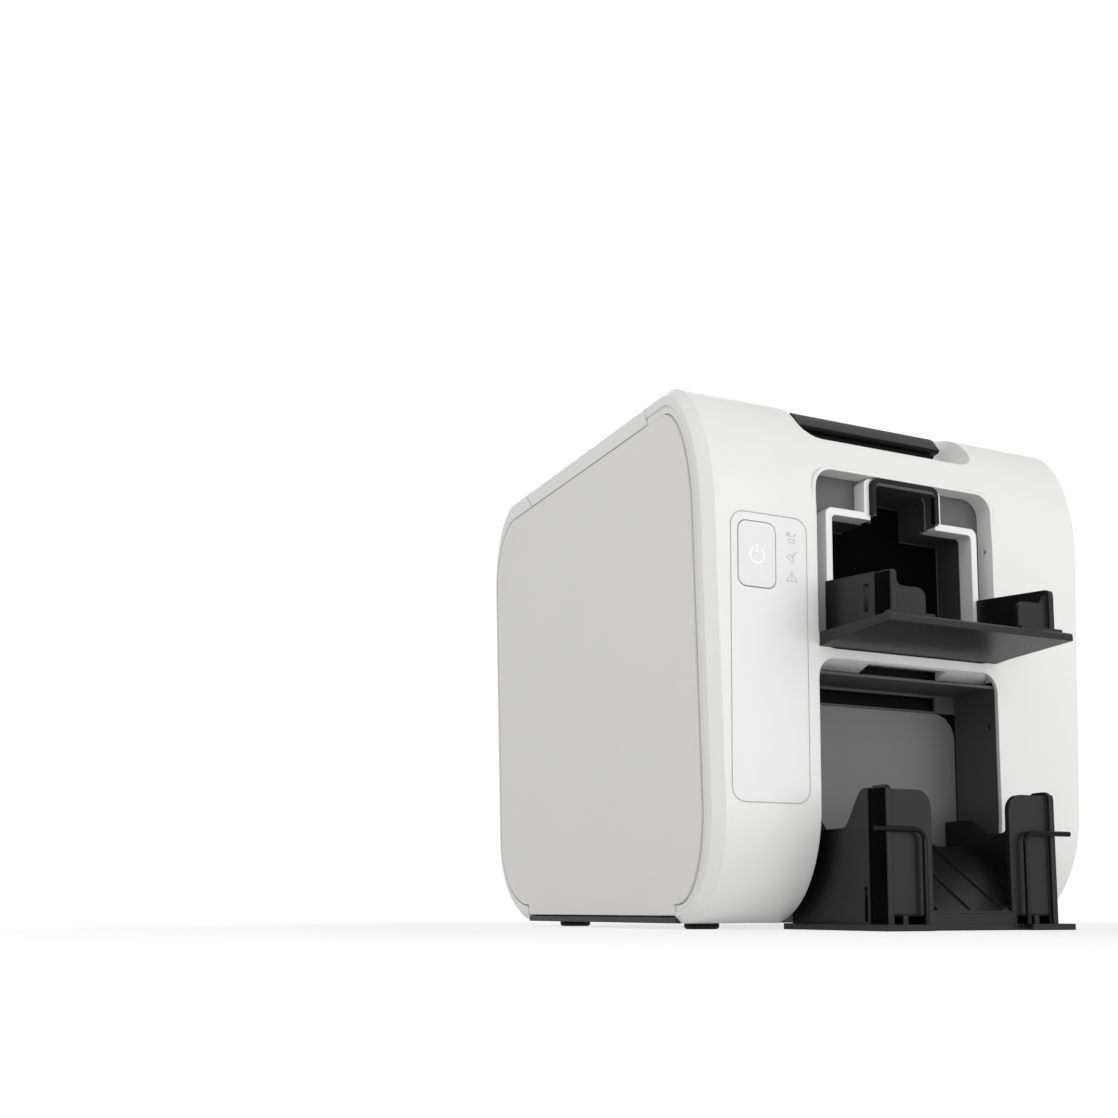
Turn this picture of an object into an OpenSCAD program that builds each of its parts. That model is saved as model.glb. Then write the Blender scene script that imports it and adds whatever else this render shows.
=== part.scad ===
// Desktop printer for plastic ID cards: a white wrap-around casing with grey
// side panels, a lid hinged at the rear over the print bay, a card hopper in
// the upper opening and a pull-out stacker tray in the lower one.
// X runs across the machine, the front faces -Y and Z is up. The machine
// stands on Z = 0, centred on the origin in X and, trays included, in Y.
// Inside the modules y = 0 is the front face, which seat() puts in its place.

/* [Casing] */
// Width of the casing at the top, where it is widest
body_w = 248; // [240:1:280]
// Depth of the casing from the front face to the rear face
body_d = 288; // [284:1:320]
// Height of the casing at the front of its lid
body_h = 277; // [275:1:300]
// How far each side leans in from the top down to the floor
side_lean = 10.5; // [2:0.5:14]
// Drop of the lid from its front to its rear
lid_fall = 6; // [2:0.5:8]
// Thickness of the moulded casing
wall = 2.5; // [2:0.1:3]
// Width of the bevel round the casing, seen from the front
bevel_x = 4; // [2:0.5:5]
// Width of the bevel round the casing, seen from the side
bevel_y = 7; // [4:0.5:8]
// Gap between casing pieces
part_gap = 0.6; // [0.4:0.1:1]
// Height of the rubber feet under the casing
foot_h = 3; // [3:0.5:5]
// Diameter of a rubber foot
foot_d = 18; // [12:1:22]

/* [Side panels] */
// Width of the white band in front of a side panel
band_front = 17; // [14:0.5:20]
// Width of the lid's edge above a side panel
band_top = 13; // [12:0.5:16]
// Width of the white band behind a side panel
band_rear = 8; // [7:0.5:12]

/* [Openings] */
// Width of both openings in the front
mouth_w = 114.6; // [112:0.2:118]
// Height of the hopper opening's bottom edge
hopper_low = 139.7; // [139:0.1:141]
// Distance of the hopper opening's top edge below the top of the casing
hopper_drop = 43.5; // [41:0.5:48]
// Corner radius of the openings
mouth_r = 10; // [6:0.5:12]
// Depth of the white recess walls inside the openings
reveal = 12; // [10:0.5:13]
// Height of the stacker opening's top edge
stacker_top = 134.9; // [134:0.1:135.5]

/* [Hopper] */
// Length of a card, which lies across the machine
card_w = 85.6; // [80:0.1:86]
// Width of the hopper's white rim over its wide part
rim_w = 98.8; // [97:0.1:102]
// Distance of the rim's shoulders below the opening's top edge
shoulder_drop = 19; // [16:0.5:26]
// Width of the rim's narrow upper part
notch_w = 50; // [40:1:56]
// Thickness of the rim
rim_t = 3.8; // [3:0.1:4]
// Depth of the hopper behind the front face
hopper_d = 33; // [33:0.5:34]
// Height of the card path, where the underside of a card runs
path_z = 147.4; // [147.2:0.1:147.6]
// Width of the hopper tray over its side walls
tray_w = 101.4; // [100:0.2:104]
// Reach of the hopper tray in front of the casing
tray_reach = 51; // [45:0.5:56]
// Height of the hopper tray's side walls over its floor, at their front posts
tray_wall_h = 23; // [18:0.5:28]
// Lip that runs round the front of both trays
lip = 7; // [4:0.5:7]

/* [Stacker] */
// Width of the stacker tray over its side walls
stack_w = 103; // [100:0.2:106]
// Reach of the stacker tray's front posts in front of the casing
stack_reach = 45; // [40:0.5:50]
// Height of the stacker tray's side walls at their lowest
stack_low_h = 49; // [40:0.5:54]
// Height of the stacker tray's side walls at the rear
stack_rear_h = 57; // [50:0.5:60]
// Height of the stacker tray's front posts
stack_high_h = 68; // [62:0.5:74]
// Depth of the stacker bay behind the front face
bay_d = 36.5; // [36:0.1:37]
// Diameter of the stop wires on the stacker tray
wire_d = 2.6; // [2:0.1:3]

/* [Control strip] */
// Width of the control strip
strip_w = 43.9; // [40:0.1:46]
// Height of the control strip
strip_h = 143; // [120:1:146]
// Height of the strip's lower end over the floor
strip_z = 61; // [60:0.5:64]
// Distance of the strip's centre line to the left of the machine's
strip_x = 86; // [84:0.5:88]
// Width of the power button
button_w = 21.4; // [16:0.2:24]
// Height of the power button
button_h = 32.9; // [26:0.2:36]
// Travel of the power button
button_travel = 1.2; // [0.8:0.1:1.5]

/* [Lid] */
// Radius of the lid's rolled rear edge, centred on its hinge
hinge_r = 10; // [9:0.5:11]
// Diameter of the hinge pins
pin_d = 5; // [4:0.5:5]
// Length of the black latch bar
bar_w = 95; // [80:1:98]
// Half the length of the scoop that takes the fingers
scoop_half = 57.5; // [55:0.5:62]
// Radius of the scoop
scoop_r = 26; // [24:0.5:27]

/* [Rollers and gears] */
// Radius of the card rollers
roller_r = 8; // [7.5:0.1:8]
// Length of the card rollers
roller_w = 86; // [70:1:88]
// Radius of the roller shafts
shaft_r = 3; // [2.5:0.1:3]
// Module of the gears
gear_m = 1; // [1:0.01:1]
// Teeth on each card roller's gear
roller_teeth = 24; // [24:1:24]
// Teeth on the idler gears
idler_teeth = 14; // [14:1:14]
// Teeth on the pick roller's gear
pick_teeth = 18; // [18:1:18]
// Teeth on the drive gear
drive_teeth = 30; // [30:1:32]
// Teeth on both motor pinions
pinion_teeth = 14; // [14:1:14]
// Width of the gears
gear_w = 7; // [5:0.5:8]

/* [Ribbon] */
// Radius of the spool flanges
spool_r = 20; // [16:0.5:20]
// Radius of the fresh ribbon on the supply spool
supply_r = 17; // [12:0.5:18]
// Radius of the used ribbon on the take-up spool
takeup_r = 13; // [9:0.5:16]
// Width of the ribbon
ribbon_w = 84; // [70:1:84]

/* [Frames and boards] */
// Distance between the inner faces of the side frames
frame_in = 100; // [100:0.5:101]
// Thickness of the steel side frames
frame_t = 1.5; // [1.2:0.1:2]
// Thickness of the circuit boards
board_t = 1.6; // [1:0.1:2]

/* [Hidden] */
$fn = 48;

white = [0.93, 0.93, 0.93];
panel_grey = [0.82, 0.82, 0.82];
black = [0.12, 0.12, 0.13];
dark_grey = [0.28, 0.28, 0.29];
mid_grey = [0.55, 0.55, 0.56];
steel = [0.72, 0.73, 0.75];

// Side outline of the casing: the run (Y) and rise (Z) of its four corners
crown_run = 44;
crown_rise = 71;
chin_run = 46;
chin_rise = 58;
shoulder_run = 42;
shoulder_rise = 55;
heel_run = 52;
heel_rise = 50;
corner_steps = 16;

front_y = (tray_reach + lip - body_d)/2;
rear_h = body_h - lid_fall;
lid_front = 62;
lid_rear = body_d - 36;
chin_end = 48;
heel_start = body_d - heel_run;
chin_band = 9;
hinge_y = lid_rear - hinge_r;
function top_z(y) = body_h - (y - crown_run)*lid_fall/(body_d - shoulder_run - crown_run);
hinge_z = top_z(hinge_y) - hinge_r;
function half_w(z) = body_w/2 - side_lean*(1 - z/body_h);
tail_half = half_w(hinge_z) - 9;
tongue_half = 55;
tongue_y = 47;
// The lid's outer ends are mitred over the ears of the rear cover, so that it can swing
mitre_y = hinge_y - 22 - hinge_z;
mitre_gap = part_gap*sqrt(2);
base_t = 3;
base_top = foot_h + base_t;
far = 400;
fit = 0.05;

// Card path and gear train
half_mouth = mouth_w/2;
axle_z = path_z - roller_r;
function pitch_r(teeth) = gear_m*teeth/2;
pick_y = 25;
pick_idler_y = pick_y + pitch_r(pick_teeth + idler_teeth);
feed_y = pick_idler_y + pitch_r(idler_teeth + roller_teeth);
step_y = pitch_r(roller_teeth + idler_teeth);
feed_idler_y = feed_y + step_y;
transport_y = feed_idler_y + step_y;
transport_idler_y = transport_y + step_y;
platen_y = transport_idler_y + step_y;
drive_z = axle_z - pitch_r(roller_teeth + drive_teeth);
pinion_z = drive_z - pitch_r(drive_teeth + pinion_teeth);
card_t = 0.8;
pinch_r = 5;
pinch_z = path_z + card_t + pinch_r;
frame_out = frame_in/2 + frame_t;
gear_x = frame_out + 1;
bush_r = 4.6;
deck_t = 1.6;
stud_r = 2.5;

// Turn of each gear that brings its teeth between those of the one before it
turn_transport_idler = mesh_turn(180, roller_teeth, 0, idler_teeth);
turn_transport = mesh_turn(180, idler_teeth, turn_transport_idler, roller_teeth);
turn_feed_idler = mesh_turn(180, roller_teeth, turn_transport, idler_teeth);
turn_feed = mesh_turn(180, idler_teeth, turn_feed_idler, roller_teeth);
turn_pick_idler = mesh_turn(180, roller_teeth, turn_feed, idler_teeth);
turn_pick = mesh_turn(180, idler_teeth, turn_pick_idler, pick_teeth);
turn_drive = mesh_turn(270, roller_teeth, 0, drive_teeth);
turn_pinion = mesh_turn(270, drive_teeth, turn_drive, pinion_teeth);

// Ribbon path
takeup_at = [feed_y + 16, path_z + 30.6];
supply_at = [platen_y + 54, path_z + 38.6];
ribbon_t = 0.3;
film_z = path_z + card_t + 0.9;
rod_r = 2;
rod_gap = 20;
cheek_in = 45.4;
cheek_t = 2;
takeup_teeth = 30;
motor_turn = 150;
ribbon_pinion_at = takeup_at
    + pitch_r(takeup_teeth + pinion_teeth)*[cos(motor_turn), sin(motor_turn)];
bracket_in = gear_x + gear_w + 1.5;
carrier_top = rear_h - 12;
head_half = 42;
shelf_z = film_z + 33;

// Latch
latch_axis = [tongue_y + 2, body_h - 6.2];
latch_pin_r = 1.2;
latch_gap = 1.6;
keeper_at = [tongue_y + 6, body_h - 39];
keeper_r = 2.5;
scoop_at = [20.3, body_h + 0.7];
scoop_roll = 12;
bar_drop = 19.4;

// Hopper
hopper_top = body_h - hopper_drop;
shoulder_z = hopper_top - shoulder_drop;
rim_front = 3.5;
bezel_t = 2;
bezel_back = reveal + bezel_t;
rim_half = rim_w/2;
hopper_in = rim_half - rim_t;
notch_in = notch_w/2 - rim_t;
notch_top = hopper_top - 0.6;
lining_t = 1.8;
tunnel_t = 1.6;
floor_z = path_z - 0.2;
tray_floor_t = 4;
tray_half = tray_w/2;
tray_wall_t = 3;
tab_gap = 58;
flange_half = 57;
stack_half = stack_w/2;
stack_gap = 48;
base_plate_t = 3;
// Both trays: the tabs stand back from the front posts, whose outer faces have a recessed band
tab_back = 2;
tab_t = 3;
band_in = 1.2;
tray_band = 12.5;
stack_band = 14;

// Control strip
strip_t = 1.6;
strip_top = strip_z + strip_h;
button_x = -strip_x - strip_w/2 + 4 + button_w/2;
button_z = strip_top - 4.4 - button_h/2;
guide_x = -strip_x + strip_w/2 - 8.8;
guide_zs = [strip_top - 10, strip_top - 20.4, strip_top - 30];
board_y = 10;

// Boards and sockets at the rear
bracket_x = 84;
board_x = bracket_x + 6;
board_rear = body_d - 20;
board_low = 62;
board_h = 120;
board_l = 138;
usb_z = 86;
inlet_z = 111;

function arc_pts(c, r, a0, a1, n = corner_steps) =
    [for (i = [0:n]) let (a = a0 + (a1 - a0)*i/n) [c[0] + r[0]*cos(a), c[1] + r[1]*sin(a)]];

// Outline of the casing seen from the side, drawn in at front, top, rear and bottom
function side_outline(f = 0, t = 0, r = 0, b = 0) = concat(
    arc_pts([chin_run, foot_h + chin_rise], [chin_run - f, chin_rise - b], 270, 180),
    arc_pts([crown_run, body_h - crown_rise], [crown_run - f, crown_rise - t], 180, 90),
    arc_pts([body_d - shoulder_run, rear_h - shoulder_rise], [shoulder_run - r, shoulder_rise - t], 90, 0),
    arc_pts([body_d - heel_run, foot_h + heel_rise], [heel_run - r, heel_rise - b], 0, -90));

function round_pts(w, h, r, n = 6) = concat(
    arc_pts([w/2 - r, h/2 - r], [r, r], 0, 90, n), arc_pts([r - w/2, h/2 - r], [r, r], 90, 180, n),
    arc_pts([r - w/2, r - h/2], [r, r], 180, 270, n), arc_pts([w/2 - r, r - h/2], [r, r], 270, 360, n));

// Edge that sweeps smoothly from p to q, level at both ends
function sweep_pts(p, q, n = 8) = [for (i = [0:n])
    [p[0] + (q[0] - p[0])*i/n, p[1] + (q[1] - p[1])*(1 - cos(180*i/n))/2]];

// Outline with a flat foot at z0 and two rounded corners at the top
function arch_pts(half, z0, top, r) = concat([[-half, z0], [half, z0]],
    arc_pts([half - r, top - r], [r, r], 0, 90, 6), arc_pts([r - half, top - r], [r, r], 90, 180, 6));

// Involute gear outline, with a tooth centred on the +X axis
function inv_deg(r, base) = r <= base ? 0 :
    let (t = sqrt(r*r/(base*base) - 1)) t*180/PI - atan(t);
function flank(teeth, r, play) =
    let (rp = pitch_r(teeth), base = rp*cos(20))
    90/teeth - play + inv_deg(rp, base) - inv_deg(r, base);
function tooth_pts(teeth) =
    let (rp = pitch_r(teeth), root = rp - 1.05*gear_m, tip = rp + 0.8*gear_m,
         play = 0.09*gear_m/rp*180/PI,
         rs = [root, max(root + 0.1, rp*cos(20)), rp - gear_m*0.2, rp + 0.4*gear_m, tip])
    concat([for (r = rs) [r, -flank(teeth, r, play)]],
           [for (i = [len(rs) - 1:-1:0]) [rs[i], flank(teeth, rs[i], play)]]);
function gear_pts(teeth) = [for (k = [0:teeth - 1]) for (p = tooth_pts(teeth))
    let (a = p[1] + k*360/teeth) [p[0]*cos(a), p[0]*sin(a)]];
// Turn of a gear so that it meshes with one of n1 teeth turned by rot1, seen from it at angle phi
function mesh_turn(phi, n1, rot1, n2) = phi + 180 - (0.5 - (phi - rot1)*n1/360)*360/n2;

module seat() translate([0, front_y, 0]) children();
// A (Y, Z) outline carried across the machine, from x0 to x1
module across(x0, x1) translate([x0, 0, 0]) rotate([90, 0, 90]) linear_extrude(x1 - x0) children();
// An (X, Z) outline carried back from y0 to y1
module back(y0, y1) translate([0, y1, 0]) rotate([90, 0, 0]) linear_extrude(y1 - y0) children();
module box(x0, x1, y0, y1, z0, z1) translate([x0, y0, z0]) cube([x1 - x0, y1 - y0, z1 - z0]);
module both_sides() { children(); mirror([1, 0, 0]) children(); }
// A round bar across the machine at (y, z)
module bar(x0, x1, at, r) translate([x0, at[0], at[1]]) rotate([0, 90, 0]) cylinder(h = x1 - x0, r = r);
// A round bar along Y at (x, z)
module peg(y0, y1, x, z, r) translate([x, y1, z]) rotate([90, 0, 0]) cylinder(h = y1 - y0, r = r);

module side_slice(f = 0, t = 0, r = 0, b = 0) across(-far/2, far/2) polygon(side_outline(f, t, r, b));
// Block between the leaning sides, drawn in by m
module lean_block(m = 0)
    back(-far/2, far) polygon([
        for (p = [[-1, -10], [1, -10], [1, body_h + 20], [-1, body_h + 20]])
            [p[0]*(half_w(p[1]) - m), p[1]]]);
// Casing before it is hollowed: the block between the bevels, and the bevel at each side
module casing_block() {
    intersection() { side_slice(); lean_block(bevel_x); }
    both_sides() hull() {
        lean_slice(bevel_x, 0.5) polygon(side_outline());
        lean_slice(0, 0.02) polygon(side_outline(bevel_y, bevel_x, bevel_y, bevel_x));
    }
}
// Slice of thickness t along the leaning side, drawn in by m
module lean_slice(m, t)
    multmatrix([[1, 0, side_lean/body_h, half_w(0) - m], [0, 1, 0, 0], [0, 0, 1, 0], [0, 0, 0, 1]])
    across(-t, 0) children();
// The hollow inside the casing, stepped at the bevels to keep the wall's thickness there
module casing_core() {
    intersection() { lean_block(bevel_x + 1); side_slice(wall, wall, wall, wall); }
    intersection() { lean_block(wall); side_slice(bevel_y - 1.5, bevel_x + 1.5, bevel_y - 1.5,
        bevel_x + 1.5); }
}
module zone(pts) across(-far/2, far/2) polygon(pts);

module front_shell() color(white) seat() {
    difference() {
        intersection() {
            casing_block();
            zone([[-far, -far], [chin_end, -far], [chin_end, 150], [lid_front, 150], [lid_front, far],
                [-far, far]]);
        }
        casing_core();
        side_slice(band_front, band_top, 0, chin_band);
        // Step in the side band, next to the side panel
        difference() {
            side_slice(band_front - 5, band_top - 4, 0, chin_band - 3);
            lean_block(1.2);
        }
        mouths();
        scoop(0);
        bar_notch();
        box(-tongue_half - part_gap, tongue_half + part_gap, tongue_y - part_gap, far, body_h - 30, far);
        // Pocket for the control strip, hole for the button and holes for the light guides
        translate([-strip_x, 0, strip_z + strip_h/2]) back(-1, strip_t + 0.1)
            polygon(round_pts(strip_w + 0.8, strip_h + 0.8, 7.4));
        translate([button_x, 0, button_z]) back(-1, 10) polygon(round_pts(button_w + 1, button_h + 1, 5));
        translate([button_x, 0, button_z]) back(wall, board_y)
            polygon(round_pts(button_w + 5, button_h + 4, 3.5));
        for (z = guide_zs) {
            peg(-1, 10, guide_x, z, 1.55);
            peg(wall, board_y, guide_x, z, 2.4);
        }
    }
    // Walls of the hopper recess and the bridge between the two openings
    difference() {
        union() {
            hopper_frame(2, 0.5, reveal);
            both_sides()
                box(half_mouth - 0.5, half_mouth + 2, wall - 0.5, reveal, stacker_top - 4,
                    hopper_low + mouth_r);
            across(-half_mouth - 2, half_mouth + 2)
                polygon([[0, stacker_top], [0, hopper_low], [reveal, hopper_low],
                    [reveal, stacker_top - 4.4]]);
        }
        hopper_frame(0, -1, reveal + 1);
        box(-25, 25, 3, reveal + 1, stacker_top - 10, stacker_top);
        both_sides() translate([half_mouth - 1, 6.5, hopper_top - 30]) rotate([0, 90, 0])
            cylinder(h = 5, r = 1.3);
    }
    // Bowl of the scoop
    intersection() {
        difference() { scoop(2); scoop(0); }
        side_slice(wall - 0.2, wall - 0.2, 0, 0);
        difference() {
            box(-far, far, -far, tongue_y - part_gap, 0, far);
            bar_notch();
        }
    }
}
// Room for the latch bar behind the scoop
module bar_notch() box(-bar_w/2 - 1.2, bar_w/2 + 1.2, 33, far, body_h - bar_drop - 1.2, far);
// The hopper opening, grown by g
module hopper_frame(g, y0, y1)
    translate([0, 0, (hopper_low + hopper_top)/2]) back(y0, y1)
    polygon(round_pts(mouth_w + 2*g, hopper_top - hopper_low + 2*g, mouth_r + g));
module mouths() {
    hopper_frame(0, -1, 20);
    translate([0, 0, stacker_top - 100]) back(-1, bay_d + 2.5) polygon(round_pts(mouth_w, 200, mouth_r));
}
// Finger scoop in the crown: a long trough with rolled ends, grown by g
module scoop(g) hull() for (a = [0:18:90])
    bar(scoop_roll - scoop_half - (scoop_roll + g)*cos(a), scoop_half - scoop_roll + (scoop_roll + g)*cos(a),
        scoop_at, scoop_r - scoop_roll + (scoop_roll + g)*sin(a));

module side_panel() {
    lower = foot_h + base_t + 0.9;
    difference() {
        intersection() {
            lean_block(0.3);
            union() {
                side_slice(band_front + part_gap, band_top + part_gap, band_rear + part_gap,
                    chin_band + part_gap);
                box(-far, far, chin_end + part_gap, heel_start, lower, 60);
            }
            box(0, far, -far, far, 0, far);
        }
        lean_block(0.3 + wall);
    }
    // Lip behind the bands, which locates the panel
    difference() {
        intersection() {
            lean_block(wall + 0.2);
            side_slice(band_front - 8, band_top - 4, band_rear - 2, chin_band - 3);
            box(0, far, -far, far, lower, far);
        }
        lean_block(wall + 2);
        side_slice(band_front + 8, band_top + 8, band_rear + 8, chin_band + 8);
    }
}
module left_side_panel() color(panel_grey) seat() mirror([1, 0, 0]) side_panel();
module right_side_panel() color(panel_grey) seat() side_panel();

module rear_cover() color(white) seat() difference() {
    intersection() {
        casing_block();
        union() {
            zone([[heel_start + part_gap, -far], [heel_start + part_gap, 150], [lid_rear + part_gap, 150],
                [lid_rear + part_gap, far], [far, far], [far, -far]]);
            both_sides() across(tail_half + part_gap, far/2)
                polygon([for (p = [[0, 240], [0, 300], [1, 300], [1, 240]])
                [p[0] == 0 ? mitre_y + mitre_gap + p[1] : far, p[1]]]);
        }
    }
    casing_core();
    side_slice(0, band_top, band_rear, chin_band);
    // Vents, and the cut-outs for the sockets
    for (x = [-70:12:50]) translate([x, 0, 160]) back(body_d - 10, far) polygon(round_pts(4, 84, 2, 3));
    box(board_x + board_t, board_x + board_t + 14, body_d - 10, far, usb_z - 6.5, usb_z + 6.5);
    box(board_x + board_t, board_x + board_t + 14, body_d - 10, far, inlet_z - 7.5, inlet_z + 7.5);
}

module base_plate() color(dark_grey) seat() difference() {
    intersection() {
        lean_block(part_gap);
        box(-far, far, chin_end + part_gap, heel_start, foot_h, base_top);
    }
    for (x = [-65:20:-5]) translate([x, heel_start - 47, 0]) linear_extrude(20)
        polygon(round_pts(8, 60, 4, 4));
}
module feet() color([0.1, 0.1, 0.1]) seat() both_sides() for (y = [chin_end + 12, heel_start - 20])
    translate([half_w(0) - 22, y, 0]) rotate_extrude()
    polygon([[0, 0], [foot_d/2 - 1, 0], [foot_d/2, 1], [foot_d/2, foot_h], [0, foot_h]]);

module top_lid() color(white) seat() {
    difference() {
        intersection() {
            casing_block();
            union() {
                zone([[lid_front + part_gap, 240], [mitre_y + 240, 240], [mitre_y + 300, 300],
                    [lid_front + part_gap, 300]]);
                box(-tail_half, tail_half, lid_front + 1, hinge_y, 150, far);
                box(-tongue_half, tongue_half, tongue_y, lid_front + 1, 150, far);
            }
        }
        casing_core();
        side_slice(0, band_top, 0, 0);
    }
    // Rolled rear edge round the hinge
    intersection() {
        difference() {
            bar(-tail_half, tail_half, [hinge_y, hinge_z], hinge_r);
            bar(-far, far, [hinge_y, hinge_z], hinge_r - wall);
        }
        box(-far, far, hinge_y, far, hinge_z - 0.6, far);
    }
    // Hinge lugs, stiffening ribs and bosses for the head carrier
    difference() {
        both_sides() {
            across(frame_out + 0.8, frame_out + 4.8) {
                translate([hinge_y, hinge_z]) circle(6.5);
                polygon([[hinge_y - 22, top_z(hinge_y) - wall - 1.4],
                    [hinge_y - 22, top_z(hinge_y) - wall + 0.6], [hinge_y, top_z(hinge_y) - wall + 0.2],
                    [hinge_y + 5, hinge_z + 4], [hinge_y - 4, hinge_z - 5]]);
            }
            for (x = [30, 84]) across(x, x + 2) polygon([for (p = [[lid_front + 8, 8], [hinge_y - 12, 8],
                [hinge_y - 12, -0.3], [lid_front + 8, -0.3]]) [p[0], top_z(p[0]) - wall - p[1]]]);
            for (y = [platen_y - 9, platen_y + 9]) translate([36, y, carrier_top])
                cylinder(h = top_z(y) - 1 - carrier_top, r = 4);
            across(40, 44) {
                translate(latch_axis) circle(3.4);
                polygon([[latch_axis[0] - 1, latch_axis[1] + 2], [latch_axis[0] + 1, body_h - wall - 0.2],
                    [latch_axis[0] + 12, body_h - wall - 0.2], [latch_axis[0] + 3, latch_axis[1] - 1.5]]);
            }
        }
        bar(-far, far, [hinge_y, hinge_z], pin_d/2 + fit);
        bar(-far, far, latch_axis, latch_pin_r);
        both_sides() for (y = [platen_y - 9, platen_y + 9]) translate([36, y, 0])
            cylinder(h = carrier_top + 6, r = 1.4);
    }
}

module latch_bar() color(black) seat() {
    rear = tongue_y - latch_gap;
    // The handle: a flat top, a face down to a ridge, and the undercut that carries on the scoop
    across(-bar_w/2, bar_w/2) polygon([[rear, body_h - 0.6], [38, body_h - 1.2], [35.5, body_h - 3],
        [30, body_h - 10], [31, body_h - 11.4], [35, body_h - 12], [37.2, body_h - 14.5],
        [36.6, body_h - bar_drop], [39, body_h - bar_drop], [40.6, body_h - 14], [39.5, body_h - 5],
            [rear, body_h - 5]]);
    // Arms to the pivot and hooks to the keeper
    difference() {
        both_sides() across(34, 39.4) {
            translate(latch_axis) circle(3.2);
            polygon([[rear - 4, body_h - 4.9], [rear, body_h - 4.4], [latch_axis[0], latch_axis[1] + 3],
                [latch_axis[0] + 3, latch_axis[1]], [keeper_at[0] - keeper_r - 0.3, keeper_at[1] - 4],
                [keeper_at[0] - keeper_r - 0.3, keeper_at[1] - 6.5], [keeper_at[0] - 7, keeper_at[1] - 6.5],
                [rear - 1.5, latch_axis[1] - 6]]);
        }
        bar(-far, far, latch_axis, latch_pin_r + fit);
        bar(-far, far, keeper_at, keeper_r + 0.3);
    }
}
module latch_pin() color(steel) seat() both_sides() bar(33, 44, latch_axis, latch_pin_r);
module hinge_pins() color(steel) seat() both_sides() bar(frame_in/2 - 2, frame_out + 5.8,
    [hinge_y, hinge_z], pin_d/2);
module latch_keeper() color(steel) seat() bar(-frame_in/2, frame_in/2, keeper_at, keeper_r);

module control_strip() color([0.9, 0.9, 0.9]) seat() difference() {
    translate([-strip_x, 0, strip_z + strip_h/2]) back(0, strip_t) polygon(round_pts(strip_w, strip_h, 7));
    translate([button_x, 0, button_z]) back(-1, 10) polygon(round_pts(button_w + 0.9, button_h + 0.9, 4.9));
}
module power_button() color([0.9, 0.9, 0.9]) seat() {
    translate([button_x, 0, button_z]) {
        back(-0.2, 3) polygon(round_pts(button_w, button_h, 4.5));
        back(2.8, 4) polygon(round_pts(button_w + 4, button_h + 3, 3));
    }
    peg(3.9, board_y - 3 - button_travel - 0.3, button_x, button_z, 2);
}
module light_guides() color([0.85, 0.9, 0.95, 0.7]) seat() for (z = guide_zs) {
    peg(strip_t + 0.15, board_y, guide_x, z, 1.4);
    peg(wall + 0.1, wall + 1.6, guide_x, z, 2.2);
}
module panel_board() color([0.1, 0.35, 0.2]) seat() {
    box(-strip_x - strip_w/2 + 1, -strip_x + strip_w/2 - 1, board_y, board_y + board_t, strip_top - 46,
        strip_top - 1);
    peg(board_y - 3, board_y, button_x, button_z, 2.5);
    // Posts that hold the board off the casing
    for (x = [button_x - 8, guide_x + 4]) peg(wall, board_y, x, strip_top - 43, 2.4);
}

// Outline of the hopper, wide below its shoulders and narrow above them, up from z0
module hopper_outline(half, shoulder, notch, top, z0, r) {
    polygon(concat([[-half, z0], [half, z0]], arc_pts([half - r, shoulder - r], [r, r], 0, 90, 6),
        [[notch, shoulder]], arc_pts([notch - r, top - r], [r, r], 0, 90, 6),
        arc_pts([r - notch, top - r], [r, r], 90, 180, 6), [[-notch, shoulder]],
        arc_pts([r - half, shoulder - r], [r, r], 90, 180, 6)));
}
module hopper_bezel() color(dark_grey) seat() difference() {
    hopper_frame(1.5, reveal + 0.2, bezel_back);
    back(0, far) hopper_outline(rim_half + 0.2, shoulder_z + 0.2, notch_w/2 + 0.2, hopper_top - 0.1,
        hopper_low - 5, 4);
}
module hopper_rim() color(white) seat() difference() {
    back(rim_front, bezel_back) hopper_outline(rim_half, shoulder_z, notch_w/2, hopper_top - 0.3,
        floor_z + 0.3, 4);
    back(-1, far) hopper_outline(hopper_in, shoulder_z - rim_t, notch_in, hopper_top - 2, 0, 2.5);
}
module hopper_tunnel() color(black) seat() {
    difference() {
        back(bezel_back + 0.2, hopper_d + tunnel_t)
            hopper_outline(hopper_in + tunnel_t, shoulder_z - rim_t + tunnel_t,
                notch_in + tunnel_t, notch_top, floor_z - tray_floor_t, 4);
        back(-1, hopper_d) hopper_outline(hopper_in, shoulder_z - rim_t, notch_in - lining_t,
            notch_top - 2 - lining_t, floor_z, 2.5);
        // Slot for the pick roller and gap under the rear wall, which lets one card through
        box(-roller_w/2 - 1, roller_w/2 + 1, pick_y - 7.6, pick_y + 7.7, 0, floor_z + 1);
        box(-card_w/2 - 1, card_w/2 + 1, hopper_d - 1, far, floor_z, path_z + card_t + 0.4);
    }
    // Black lining of the narrow part, in front of the recess face
    difference() {
        back(0.6, bezel_back + 0.4) polygon(arch_pts(notch_in - 0.1, shoulder_z - 2, notch_top - 2, 3));
        back(-1, far) polygon(arch_pts(notch_in - lining_t, 0, notch_top - 2 - lining_t, 2));
    }
}
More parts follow.
